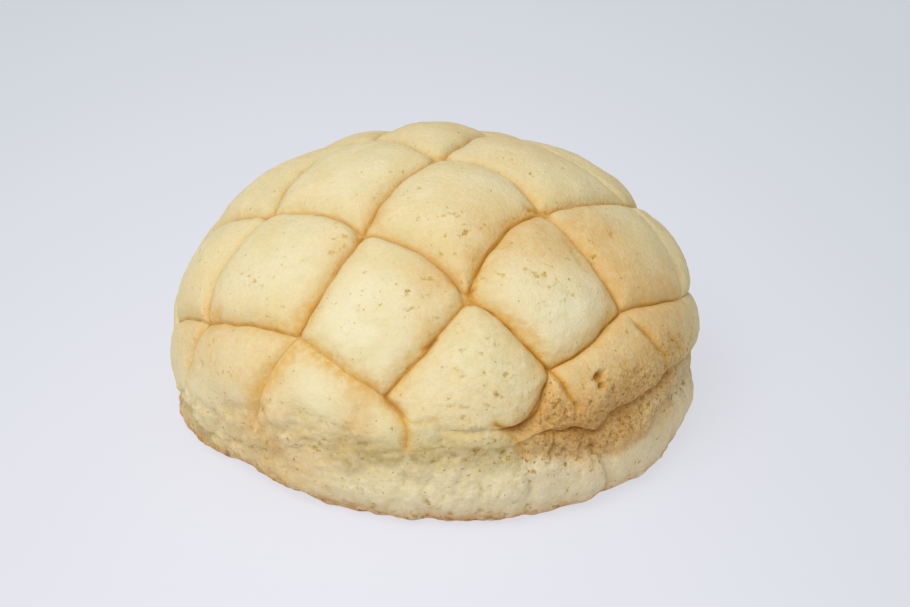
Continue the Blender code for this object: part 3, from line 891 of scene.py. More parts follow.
    # The lobes of the crust and the foot, and the knuckles on them
    lobes: tuple[Cobbles, ...] = (
        Cobbles(0.0064, 0.0010, Pattern.LOBES), Cobbles(0.0036, 0.00036, Pattern.KNUCKLES),
    )
    lobe_flatness: float = 0.8
    lobe_passage: float = 0.004
    lobe_loss: float = 0.45
    lobe_shoulder: float = 0.38
    lobe_level: float = 0.75
    valley_width: float = 0.5
    # How wide the seams between lumps are that get painted shade
    seam_width: float = 0.10
    pebble_size: float = 0.0023
    pebble_depth: float = 0.00034
    pebble_least: float = 0.15
    pebble_shoulder: float = 0.6
    pebble_level: float = 0.6
    # How wide and how strong the painted shade in the seams between pebbles is
    pebble_seam_width: float = 0.2
    pebble_seam_share: float = 0.6
    rim_height: float = 0.004
    rim_size: float = 0.0026
    rim_depth: float = 0.0003
    pebbled: Patches = Patches((
        (10.0, -55.0, 11.0, 1.3), (30.0, -43.0, 7.0, 0.4), (-16.0, -48.0, 8.0, 0.35), (7.0, -35.0, 5.0, 0.5),
        (-38.0, -26.0, 8.0, 0.3), (30.0, 2.0, 12.0, 0.3), (-12.0, -8.0, 10.0, 0.2),
    ))
    # How strong the lobes are, round the bun
    lobe_shares: Table = (
        (-172.0, 0.7), (-150.0, 0.9), (-110.0, 1.0), (-75.0, 0.9), (-58.0, 0.35), (-10.0, 0.35), (60.0, 0.8),
    )
    # How far above the crust's lower edge the lobes begin, round the bun
    lobe_starts: Table = (
        (-172.0, 0.004), (-150.0, 0.010), (-125.0, 0.013), (-108.0, 0.009), (-98.0, 0.000), (100.0, 0.002),
    )
    # How craggy the crust is just above and below its lower edge, round the bun
    crag_shares: Table = (
        (-172.0, 0.4), (-150.0, 0.4), (-120.0, 0.35), (-95.0, 0.2), (-78.0, 0.35), (-64.0, 1.3),
        (-35.0, 1.15), (0.0, 0.6), (90.0, 0.6), (140.0, 0.5),
    )

    def shift(self, places: np.ndarray) -> np.ndarray:
        """How far the scores wander over the flat disc.

        Args:
            places: Points in space.

        Returns:
            The shifts of their flat points.
        """
        across = lump(places, self.wander_size, Pattern.SCORE_WANDER_ACROSS)
        along = lump(places, self.wander_size, Pattern.SCORE_WANDER_ALONG)
        return self.wander * np.stack([across, along], axis=1)

    def hollows(self, flat: np.ndarray) -> tuple[np.ndarray, np.ndarray, np.ndarray]:
        """The pits at flat points.

        Args:
            flat: The flat points.

        Returns:
            How deep the pits are there, how far inside one each point is, and how far inside a hole.
        """
        depth = np.zeros(len(flat))
        inside = np.zeros(len(flat))
        in_hole = np.zeros(len(flat))
        for x, y, radius, pit_depth in self.pits:
            away = flat - np.array([x, y]) * MILLIMETRE
            outward = np.array([x, y]) / np.hypot(x, y)
            along = away @ outward
            across = away @ np.array([-outward[1], outward[0]])
            far = np.hypot(self.pit_flatness * along, across / self.pit_flatness)
            near = np.exp(-(far / (radius * MILLIMETRE)) ** self.pit_steepness)
            sunk = pit_depth if pit_depth > self.deep_pit else self.shallow_share * pit_depth
            depth = np.maximum(depth, near * sunk * MILLIMETRE)
            if pit_depth > self.hole_depth:
                in_hole = np.maximum(in_hole, near)
            else:
                inside = np.maximum(inside, hill(far, self.pit_stain * radius * MILLIMETRE))
        return depth, inside, in_hole

    def furrowed(self, flat: np.ndarray) -> Furrowed:
        """The furrows at flat points.

        Args:
            flat: The flat points.

        Returns:
            What they do there.
        """
        depth, amber, dark = np.zeros(len(flat)), np.zeros(len(flat)), np.zeros(len(flat))
        line_gap = np.full(len(flat), FAR_AWAY)
        for furrow in self.furrows:
            gap = gap_to_line(flat, furrow.line)
            near = hill(gap, furrow.width * MILLIMETRE)
            depth = np.maximum(depth, furrow.depth * MILLIMETRE * near)
            amber = np.maximum(amber, furrow.amber * near ** self.amber_spread)
            nearer = (gap < line_gap) & (furrow.dark > 0.0)
            dark = np.where(nearer, furrow.dark, dark)
            line_gap = np.where(nearer, gap, line_gap)
        return Furrowed(depth, amber, line_gap, dark)

    def crags(self, azimuth: np.ndarray, below: np.ndarray) -> np.ndarray:
        """How craggy the crust is.

        Args:
            azimuth: Where round the bun, in degrees.
            below: The lengths past the crease.

        Returns:
            The shares of crag.
        """
        rising = ease((below + self.crag_start) / self.crag_passage)
        kept = 1.0 - self.crag_loss * ease((below - self.crag_end) / self.crag_end_passage)
        return around(self.crag_shares, azimuth) * rising * kept

    def lobed(self, azimuth: np.ndarray, below: np.ndarray) -> np.ndarray:
        """How strong the lobes are.

        Args:
            azimuth: Where round the bun, in degrees.
            below: The lengths past the crease.

        Returns:
            Their shares of the full depth.
        """
        rising = ease((below + around(self.lobe_starts, azimuth)) / self.lobe_passage)
        kept = 1.0 - self.lobe_loss * ease(below / self.lobe_passage)
        return rising * around(self.lobe_shares, azimuth) * kept

    def rough(self, places: np.ndarray, flat: np.ndarray, azimuth: np.ndarray, below: np.ndarray,
              height: np.ndarray) -> Roughness:
        """The unevenness of the surface.

        Args:
            places: Points in space.
            flat: The same points on the flat disc.
            azimuth: Their azimuths, in degrees.
            below: Their lengths past the crease.
            height: Their heights above the underside.

        Returns:
            How far each point stands out, how craggy the crust is there, and how far it is in a seam
            between lumps and in the valley round the seam.
        """
        out = self.knob_depth * lump(places, self.knob_size, Pattern.KNOBS)
        out += self.bubble_depth * lump(places, self.bubble_size, Pattern.BUBBLES)
        out += self.grain_depth * lump(places, self.grain_size, Pattern.GRAIN)
        craggy = self.crags(azimuth, below)
        ridges = self.crag_level - np.abs(lump(places, self.crag_size, Pattern.CRAGS))
        out += self.crag_depth * craggy * ridges
        gritty = craggy > self.least_crag
        middle, _ = grains(places[gritty], self.grit_size, Pattern.GRIT)
        out[gritty] += self.grit_depth * craggy[gritty] * (self.grit_level - middle)

        strength = self.lobed(azimuth, below)
        on_lobes = strength > 0.0
        strong = strength[on_lobes]
        seams, valleys = np.zeros(len(places)), np.zeros(len(places))
        flattened = places[on_lobes] * (1.0, 1.0, self.lobe_flatness)
        for cobbles in self.lobes:
            _, seam = grains(flattened, cobbles.size, cobbles.pattern)
            out[on_lobes] += cobbles.depth * strong * (ease(seam / self.lobe_shoulder) - self.lobe_level)
            valley = strong * (1.0 - ease(seam / self.valley_width))
            valleys[on_lobes] = np.maximum(valleys[on_lobes], valley)
            seams[on_lobes] = np.maximum(seams[on_lobes], strong * (1.0 - ease(seam / self.seam_width)))

        pebbled = np.clip(self.pebble_least + self.pebbled.at(flat) + strength, 0.0, 1.0)
        _, seam = grains(places, self.pebble_size, Pattern.PEBBLES)
        out += self.pebble_depth * pebbled * (ease(seam / self.pebble_shoulder) - self.pebble_level)
        between = self.pebble_seam_share * pebbled * (1.0 - ease(seam / self.pebble_seam_width))
        near_rim = ease(1.0 - height / self.rim_height)
        out += self.rim_depth * near_rim * lump(places, self.rim_size, Pattern.RIM)
        return Roughness(out, craggy, np.maximum(seams, between), valleys)


@dataclass(frozen=True)
class Bake:
    """Where the crust took colour in the oven."""

    unevenness_size: float = 0.0042
    # The amber along the scores: how many millimetres it reaches up and down the side, and how strong it is
    uphill_reach: float = 1.7
    downhill_reach: float = 0.45
    reach_unevenness: float = 0.5
    halo_steepness: float = 1.2
    halo_strength: float = 1.05
    halo_unevenness: float = 0.5
    # How far the points at the scores below the net count as uphill of them
    skirt_uphill: float = 0.15
    downhill_thinning: float = 1.6
    crossing_gap: float = 0.00022
    # Tan along the scores' edges: partly baked colour, partly painted shade on the tiles' flanks
    edge_tan: float = 0.5
    edge_reach: float = 0.0034
    # How far inside a hole its dark, partly painted shade, begins, and how far from a score's line its edge
    # counts as
    hole_edge: float = 0.05
    hole_line_gap: float = 0.0006
    tan: Patches = Patches((
        (8.0, -22.0, 7.0, 0.4), (8.0, -31.5, 4.0, 0.3), (21.0, -24.5, 7.0, 0.8), (33.0, -16.0, 8.0, 0.9),
        (33.5, -24.0, 4.0, 0.6), (0.5, -36.5, 5.0, 0.6), (-42.0, -48.0, 12.0, 0.5), (-55.0, -30.0, 9.0, 0.45),
        (38.0, -55.0, 9.0, 0.9), (48.0, -46.0, 9.0, 0.8), (42.0, -38.0, 7.0, 0.35), (43.0, -27.0, 7.0, 0.85),
        (53.0, -17.0, 8.0, 0.8), (-11.5, -19.0, 4.0, 0.6), (3.0, -37.0, 5.0, 0.3), (-60.0, -22.0, 8.0, 0.3),
        (-16.7, -58.0, 4.5, 0.5), (-17.5, -62.5, 3.5, 0.35), (-50.0, -35.5, 6.0, 0.3),
        (29.0, -50.3, 3.5, 0.35), (-1.4, -45.4, 3.5, 0.3), (55.0, -31.0, 9.0, 0.7), (8.0, -60.0, 8.0, 0.15),
        (25.5, -59.5, 3.5, 0.6), (24.0, -64.0, 6.0, 0.45), (34.0, -62.0, 6.0, 0.5), (50.0, -56.0, 6.0, 0.35),
        (63.0, -40.0, 6.0, 0.3), (0.0, 24.0, 14.0, 0.25), (20.0, 8.0, 10.0, 0.3), (-18.0, -27.0, 4.0, 0.35),
        (-20.0, -66.0, 5.0, 0.25),
    ))
    pale: Patches = Patches((
        (-15.0, -46.0, 11.0, 1.0), (6.0, -52.0, 9.0, 0.5), (27.0, -40.0, 9.0, 1.0), (-34.0, -27.0, 11.0, 0.5),
        (48.0, -17.0, 7.0, 0.3), (-26.0, -55.0, 9.0, 0.6), (-50.0, -50.0, 10.0, 0.6),
        (-67.0, -32.0, 13.0, 0.9), (-42.0, -60.0, 10.0, 0.4), (-16.0, -6.0, 8.0, 0.3),
        (8.0, -16.0, 7.0, 0.25), (33.0, -3.0, 8.0, 0.5), (0.0, 45.0, 12.0, 0.5), (-35.0, 25.0, 12.0, 0.5),
        (32.0, 36.0, 11.0, 0.5),
    ))
    pale_unevenness: float = 0.4
    flecked: Patches = Patches((
        (3.0, -24.0, 6.0, 0.7), (7.0, -34.5, 4.0, 1.0), (-14.0, -37.0, 4.0, 0.6), (-3.5, -40.5, 4.5, 1.0),
        (-5.5, -31.0, 3.0, 0.5), (17.5, -31.0, 5.0, 0.7), (24.0, -35.0, 4.0, 0.7), (27.0, -24.0, 4.0, 0.6),
        (-19.0, -25.0, 3.0, 1.0), (-38.0, -27.0, 7.0, 0.5), (-10.0, -8.0, 6.0, 0.4), (35.0, -16.0, 6.0, 0.5),
        (40.0, -52.0, 9.0, 0.9), (52.0, -44.0, 8.0, 0.8), (-30.0, -65.0, 10.0, 0.6), (-52.0, -40.0, 9.0, 0.6),
        (12.0, -58.0, 9.0, 0.5), (30.0, -66.0, 9.0, 0.6), (5.0, -74.0, 9.0, 0.5), (0.0, 35.0, 16.0, 0.5),
        (35.0, 25.0, 12.0, 0.5), (-35.0, 20.0, 14.0, 0.5),
    ))
    # The tan of the crust's back: how strong it is, and where it starts towards +Y
    rear_tan: float = 0.3
    rear_tan_start: float = 0.01
    rear_tan_passage: float = 0.04
    # The tan of the foot, round the bun, and the length down the side at which it starts
    left_foot_tan: Table = (
        (-180.0, 0.0), (-160.0, 0.0), (-148.0, 0.1), (-130.0, 0.45), (-118.0, 0.3), (-105.0, 0.05),
        (-60.0, 0.0), (0.0, 0.3), (90.0, 0.4), (150.0, 0.4),
    )
    foot_tan_start: float = 0.068
    foot_tan_passage: float = 0.010
    tan_unevenness: float = 0.35
    tan_sharpness: float = 3.0
    # Painted shade: tan in the valleys between lumps
    valley_shade_tan: float = 0.2
    # The pale foot: how near the crease it starts, and between which azimuths it shows at the front and back
    foot_start: float = 0.0005
    foot_passage: float = 0.002
    front_foot_start: float = -128.0
    front_foot_fade_in: float = 16.0
    front_foot_end: float = 20.0
    front_foot_fade_out: float = 20.0
    rear_foot_start: float = 144.0
    rear_foot_fade_in: float = 40.0
    # The painted shade in the crease under the lip, and in the notch under the second fold
    crevice_below: float = 0.0007
    crevice_reach: float = 0.0019
    crevice_least_depth: float = 0.0008
    crevice_depth_passage: float = 0.0015
    crevice_least: float = 0.25
    notch_crevice: float = 0.6
    notch_crevice_reach: float = 0.0013
    # The painted olive shade in the shallow crease, where no fold hangs over it
    crease_below: float = 0.0014
    crease_reach: float = 0.0042
    crease_least_depth: float = 0.0006
    crease_depth_passage: float = 0.0008
    # How much of the crease's painted shade also goes into the painted shade of the seams
    crease_shade_in_seams: float = 0.5
    rim_height: float = 0.0060

    def halo(self, gap: np.ndarray, colour: np.ndarray, uphill: np.ndarray,
             unevenness: np.ndarray) -> np.ndarray:
        """The amber along the scores, wider on the wall above them.

        Args:
            gap: Distances from the nearest score.
            colour: How much colour that score took.
            uphill: How far the points are on the wall above it.
            unevenness: A seeded value between -1 and 1.

        Returns:
            The share of amber.
        """
        reach = self.downhill_reach + (self.uphill_reach - self.downhill_reach) * uphill
        reach = reach * MILLIMETRE * (1.0 + self.reach_unevenness * unevenness)
        strength = self.halo_strength + self.halo_unevenness * unevenness
        return np.clip(colour * np.exp(-(gap / reach) ** self.halo_steepness) * strength, 0.0, 1.0)

    def foot_share(self, skirt: Skirt, azimuth: np.ndarray, below: np.ndarray) -> np.ndarray:
        """Where the foot's paler dough shows.

        Args:
            skirt: The shape of the side.
            azimuth: Where round the bun, in degrees.
            below: The lengths past the crease.

        Returns:
            The shares of dough.
        """
        half_band = 0.5 * skirt.ledge_gap(azimuth) * around(skirt.ledge_shares, azimuth)
        past_band = ease((below - half_band + self.foot_start) / (self.foot_passage + half_band))
        front = ease((azimuth - self.front_foot_start) / self.front_foot_fade_in)
        front *= ease((self.front_foot_end - azimuth) / self.front_foot_fade_out)
        past_crease = ease((below + self.foot_start) / self.foot_passage)
        rear = ease((np.abs(azimuth) - self.rear_foot_start) / self.rear_foot_fade_in)
        return np.maximum(past_band * front, past_crease * rear)

    def tan_share(self, flat: np.ndarray, azimuth: np.ndarray, length: np.ndarray, on_crust: np.ndarray,
                  valleys: np.ndarray, unevenness: np.ndarray) -> np.ndarray:
        """Where the crust baked to tan, and where tan is painted as shade in the valleys between lumps.

        Args:
            flat: The flat points.
            azimuth: Where round the bun, in degrees.
            length: The lengths down the side.
            on_crust: How much crust, and not dough, shows.
            valleys: How far the points are in a valley between lumps.
            unevenness: A seeded value between -1 and 1.

        Returns:
            The shares of tan.
        """
        rear = ease((flat[:, 1] - self.rear_tan_start) / self.rear_tan_passage)
        low = ease((length - self.foot_tan_start) / self.foot_tan_passage)
        tan = self.tan.at(flat) + self.rear_tan * rear * on_crust + around(self.left_foot_tan, azimuth) * low
        tan += self.tan_unevenness * unevenness * ease(self.tan_sharpness * tan)
        # Tan as painted shade in the valleys between lumps
        return np.clip(tan + self.valley_shade_tan * valleys * on_crust, 0.0, 1.0)

    def crevice_shade_share(self, skirt: Skirt, azimuth: np.ndarray, below: np.ndarray) -> np.ndarray:
        """Where shade is painted into the crease under the lip and into the notch under the second fold.

        Args:
            skirt: The shape of the side.
            azimuth: Where round the bun, in degrees.
            below: The lengths past the crease.

        Returns:
            The shares of painted shade.
        """
        crease_depth, ledge = around(skirt.crease_depths, azimuth), around(skirt.ledge_shares, azimuth)
        crevice_shade = hill(below - self.crevice_below, self.crevice_reach)
        crevice_shade *= ease((crease_depth - self.crevice_least_depth) / self.crevice_depth_passage)
        crevice_shade *= self.crevice_least + (1.0 - self.crevice_least) * ledge
        notch = self.notch_crevice * ledge * hill(below - skirt.ledge_gap(azimuth), self.notch_crevice_reach)
        return np.maximum(crevice_shade, notch)

    def crease_shade_share(self, skirt: Skirt, azimuth: np.ndarray, below: np.ndarray) -> np.ndarray:
        """Where olive shade is painted into the shallow crease.

        Args:
            skirt: The shape of the side.
            azimuth: Where round the bun, in degrees.
            below: The lengths past the crease.

        Returns:
            The shares of painted shade.
        """
        crease_depth, ledge = around(skirt.crease_depths, azimuth), around(skirt.ledge_shares, azimuth)
        deep_enough = ease((crease_depth - self.crease_least_depth) / self.crease_depth_passage)
        return hill(below - self.crease_below, self.crease_reach) * (1.0 - ledge) * deep_enough


@dataclass
class MelonBread:
    """The whole bun as one closed mesh, from its net of tiles down to the flat underside."""

    name: str = "bun"
    tile_steps: int = 44
    crust_rings: int = 42
    foot_rings: int = 38
    crust_ring_crowding: float = 1.25
    foot_ring_crowding: float = 1.25
    # The rings under the foot: the drop of the first, and the share of the rim's radius that each has
    underside_drop: float = 3.0
    underside_shares: tuple[float, ...] = (0.97, 0.90, 0.75, 0.50, 0.25)
    skirt: Skirt = Skirt()
    crumb: Crumb = Crumb()
    bake: Bake = Bake()

    def drops(self) -> list[float]:
        """The drops of the rings below the net, crowded towards the crease.

        Returns:
            One drop a ring.
        """
        rings = np.arange(1, self.crust_rings + 1) / self.crust_rings
        crust = 1.0 - (1.0 - rings) ** self.crust_ring_crowding
        rings = np.arange(1, self.foot_rings + 1) / self.foot_rings
        foot = 1.0 + rings ** self.foot_ring_crowding
        return [float(drop) for drop in np.concatenate([crust, foot])]

    def lay_mesh(self) -> bpy.types.Object:
        """Lays the net out as a grid and draws its border down the side and under the foot.

        Returns:
            The object, whose points carry their places in the net and their drops.
        """
        reach = self.skirt.net.reach
        steps = 2 * reach * self.tile_steps
        bpy.ops.object.select_all(action="DESELECT")
        bpy.ops.mesh.primitive_grid_add(x_subdivisions=steps, y_subdivisions=steps, size=2.0 * reach,
                                        calc_uvs=False)
        bun = bpy.context.object
        bun.name = self.name
        bun.data.name = self.name
        on_net = len(bun.data.vertices)
        places = read_points(bun)
        whole = np.round(places[:, :2] * self.tile_steps) / self.tile_steps
        write_layer(bun, Layer.RISE, whole[:, 0])
        write_layer(bun, Layer.FALL, -whole[:, 1])

        drops = self.drops()
        bpy.ops.object.mode_set(mode="EDIT")
        bpy.ops.mesh.select_mode(type="EDGE")
        bpy.ops.mesh.select_all(action="SELECT")
        bpy.ops.mesh.region_to_loop()
        for _ in range(len(drops) + len(self.underside_shares)):
            bpy.ops.mesh.extrude_edges_move()
        bpy.ops.mesh.edge_face_add()
        bpy.ops.object.mode_set(mode="OBJECT")

        border = 4 * steps
        below = drops + [self.underside_drop + step for step in range(len(self.underside_shares))]
        write_layer(bun, Layer.DROP, np.concatenate([np.zeros(on_net), np.repeat(below, border)]))
        return bun

    def shape(self, bun: bpy.types.Object) -> None:
        """Moves every point of the mesh to its place on the bun and writes what its finish needs.

        Args:
            bun: The object from lay_mesh.
        """
        rise = read_layer(bun, Layer.RISE)
        fall = read_layer(bun, Layer.FALL)
        drop = read_layer(bun, Layer.DROP)
        skirt, net, crumb, bake = self.skirt, self.skirt.net, self.crumb, self.bake
        on_net = net.place(rise, fall)
        flat, from_scores = on_net.flat, (on_net.from_rising, on_net.from_falling)
        uphill = net.lowness(on_net.lean)
        wander = crumb.edge_wander * lump(np.column_stack([flat, np.zeros(len(flat))]),
                                          crumb.edge_wander_size, Pattern.EDGE_WANDER)
        rounded = np.maximum(net.rounded_gap(*from_scores, uphill), 0.0)
        wander *= ease(rounded / crumb.edge_wander_start)
        rounded = rounded + wander * hill(rounded, crumb.edge_wander_reach)
        scored = net.depth(rise, fall) * net.fall_of_tile(rounded, uphill, *from_scores)
        gap = np.minimum(*from_scores)
        corner = np.minimum(gap, rounded)
        colour = net.depth(rise, fall) * on_net.colour
        below_net = drop > 0.0
        laid = skirt.lay(rise[below_net], fall[below_net], np.minimum(drop[below_net], 2.0))
        flat[below_net], scored[below_net], gap[below_net], colour[below_net] = laid
        uphill[below_net] = bake.skirt_uphill
        corner[below_net] = gap[below_net]

        healed = np.clip(crumb.healed.at(flat), 0.0, 1.0)
        colour *= 1.0 - healed
        scored = scored * (1.0 - healed) + crumb.healed_depth * healed

        points, layers, unevenness = self.surface(flat, scored)
        halo = bake.halo(corner, colour, uphill, unevenness)
        layers[Layer.AMBER] = np.maximum(layers[Layer.AMBER], halo)
        # Tan along the scores' edges: partly baked colour, partly painted shade on the tiles' flanks
        edge_tan_and_shade = bake.edge_tan * colour * hill(corner, bake.edge_reach)
        layers[Layer.TAN] = np.clip(layers[Layer.TAN] + edge_tan_and_shade, 0.0, 1.0)
        gap = gap * (1.0 + bake.downhill_thinning * (1.0 - uphill))
        gap = np.where(below_net, gap, np.minimum(gap, rounded + bake.crossing_gap))
        scored_nearer = gap < layers[Layer.LINE_GAP]
        layers[Layer.LINE_DEPTH] = np.where(scored_nearer, colour, layers[Layer.LINE_DEPTH])
        layers[Layer.LINE_GAP] = np.minimum(gap, layers[Layer.LINE_GAP]) / MILLIMETRE
        for layer, values in layers.items():
            write_layer(bun, layer, values)
        for step, share in enumerate(self.underside_shares):
            ring = np.round(drop - self.underside_drop) == step
            points[ring, :2] *= share
            points[ring, 2] = 0.0
        middle = 0.5 * (points.min(axis=0) + points.max(axis=0))
        points[:, :2] -= middle[:2]
        bun.data.vertices.foreach_set("co", points.astype(np.float32).ravel())
        bun.data.update()

    def surface(self, flat: np.ndarray,
                scored: np.ndarray) -> tuple[np.ndarray, dict[Layer, np.ndarray], np.ndarray]:
        """Carries flat points to the bun.

        Args:
            flat: The flat points.
            scored: How far each lies below its tile's crown.

        Returns:
            The points in space, the layers that the finish reads, and the unevenness of the colour.
        """
        skirt, crumb, bake, outline = self.skirt, self.crumb, self.bake, self.skirt.outline
        length, angle, places = outline.lay_on(flat)
        below = np.hypot(*flat.T) - skirt.crease_length(np.degrees(angle))
        loose = ease((outline.lengths()[-1] - length) / crumb.calm_width)
        length, angle, places = outline.lay_on(flat + crumb.shift(places) * loose[:, None])
        azimuth = np.degrees(angle)
        radius, height, outward, upward = outline.at(length)

        relief = skirt.relief(azimuth, below, places) - scored * ease(-below / skirt.crease_clearance)
        relief += skirt.swell_depth * lump(places, skirt.swell_size, Pattern.SWELLS)
        cragged = ease((length - skirt.crags_start) / (skirt.crags_full - skirt.crags_start))
        relief += skirt.crag_depth * cragged * lump(places, skirt.crag_size, Pattern.SKIRT_LUMPS)
        spread = around(skirt.foot_spreads, azimuth)
        reach = np.where(spread < 0.0, skirt.foot_tuck_height, skirt.foot_spread_height)
        relief += spread * ease(1.0 - height / reach)
        rough = crumb.rough(places, flat, azimuth, below, height)
        relief += rough.out
        relief += MILLIMETRE * crumb.swells.at(flat)
        pit_depth, hollow, in_hole = crumb.hollows(flat)
        furrowed = crumb.furrowed(flat)
        relief -= np.maximum(pit_depth, furrowed.depth)

        crease_depth = around(skirt.crease_depths, azimuth)
        droop = around(skirt.lip_droops, azimuth) * crease_depth
        droop *= hill(below + skirt.droop_rise, skirt.droop_width)
        height = height + upward * relief - droop
        radius = radius + outward * relief
        points = np.stack([radius * np.cos(angle), radius * np.sin(angle), height], axis=1)

        unevenness = lump(places, bake.unevenness_size, Pattern.COLOUR)
        foot = bake.foot_share(skirt, azimuth, below)
        # Where olive shade is painted into the shallow crease
        crease = bake.crease_shade_share(skirt, azimuth, below)
        hole_gap = bake.hole_line_gap * (1.0 - in_hole)
        layers = {
            # Holes take amber and dark line colours: baked colour and painted shade
            Layer.AMBER: np.maximum(furrowed.amber, in_hole),
            Layer.LINE_GAP: np.where(in_hole > bake.hole_edge, hole_gap, furrowed.line_gap),
            Layer.LINE_DEPTH: np.maximum(furrowed.dark, in_hole),
            Layer.FLECKED: np.clip(bake.flecked.at(flat), 0.0, 1.0),
            Layer.TAN: bake.tan_share(flat, azimuth, length, 1.0 - foot, rough.valleys, unevenness),
            Layer.PALE: np.clip(bake.pale.at(flat) + bake.pale_unevenness * unevenness, 0.0, 1.0),
            Layer.FOOT: foot,
            Layer.RIM: ease(1.0 - height / bake.rim_height),
            Layer.HOLLOW: hollow,
            # Painted shade under the lip and in the notch under the second fold
            Layer.CREVICE_SHADE: bake.crevice_shade_share(skirt, azimuth, below),
            Layer.CRAG: rough.craggy,
            # Painted shade in the seams between lumps and in the shallow crease
            Layer.SEAM_SHADE: np.maximum(rough.seams, bake.crease_shade_in_seams * crease),
            Layer.CREASE_SHADE: crease,
        }
        return points, layers, unevenness

    def build(self) -> bpy.types.Object:
        """Builds the bun.

        Returns:
            The finished object, with no material yet.
        """
        bun = self.lay_mesh()
        self.shape(bun)
        bpy.ops.object.shade_smooth()
        return bun


def read_points(piece: bpy.types.Object) -> np.ndarray:
    """The points of a mesh.

    Args:
        piece: The object.

    Returns:
        One point a row.
    """
    values = np.zeros(3 * len(piece.data.vertices), np.float32)
    piece.data.vertices.foreach_get("co", values)
    return values.reshape(-1, 3).astype(float)


def write_layer(piece: bpy.types.Object, layer: Layer, values: np.ndarray) -> None:
    """Writes a layer of a mesh.

    Args:
        piece: The object.
        layer: The layer.
        values: One value a point.
    """
    found = piece.data.attributes.get(layer.value)
    if found is None:
        found = piece.data.attributes.new(layer.value, "FLOAT", "POINT")
    found.data.foreach_set("value", np.asarray(values, np.float32))


def read_layer(piece: bpy.types.Object, layer: Layer) -> np.ndarray:
    """Reads a layer of a mesh.

    Args:
        piece: The object.
        layer: The layer.

    Returns:
        One value a point.
    """
    values = np.zeros(len(piece.data.vertices), np.float32)
    piece.data.attributes[layer.value].data.foreach_get("value", values)
    return values.astype(float)


def pigment(red: int, green: int, blue: int) -> tuple[float, float, float, float]:
    """A colour for the shader, by the usual curve of screens.

    Args:
        red: How much red it shows on a screen, from 0 to 255.
        green: How much green.
        blue: How much blue.

    Returns:
        The colour.
    """
    linear = []
    for part in (red, green, blue):
        share = part / 255.0
        linear.append(share / 12.92 if share <= 0.04045 else ((share + 0.055) / 1.055) ** 2.4)
    return linear[0], linear[1], linear[2], 1.0


@dataclass(frozen=True)
class Clouds:
    """A noise between 0 and 1: how wide its clouds are in metres, and how finely they break up."""

    size: float
    detail: float = 3.0
    roughness: float = 0.5


@dataclass(frozen=True)
class Passage:
    """A smooth passage from LOW to HIGH, while a value goes from START to END."""

    start: float
    end: float
    low: float = 0.0
    high: float = 1.0


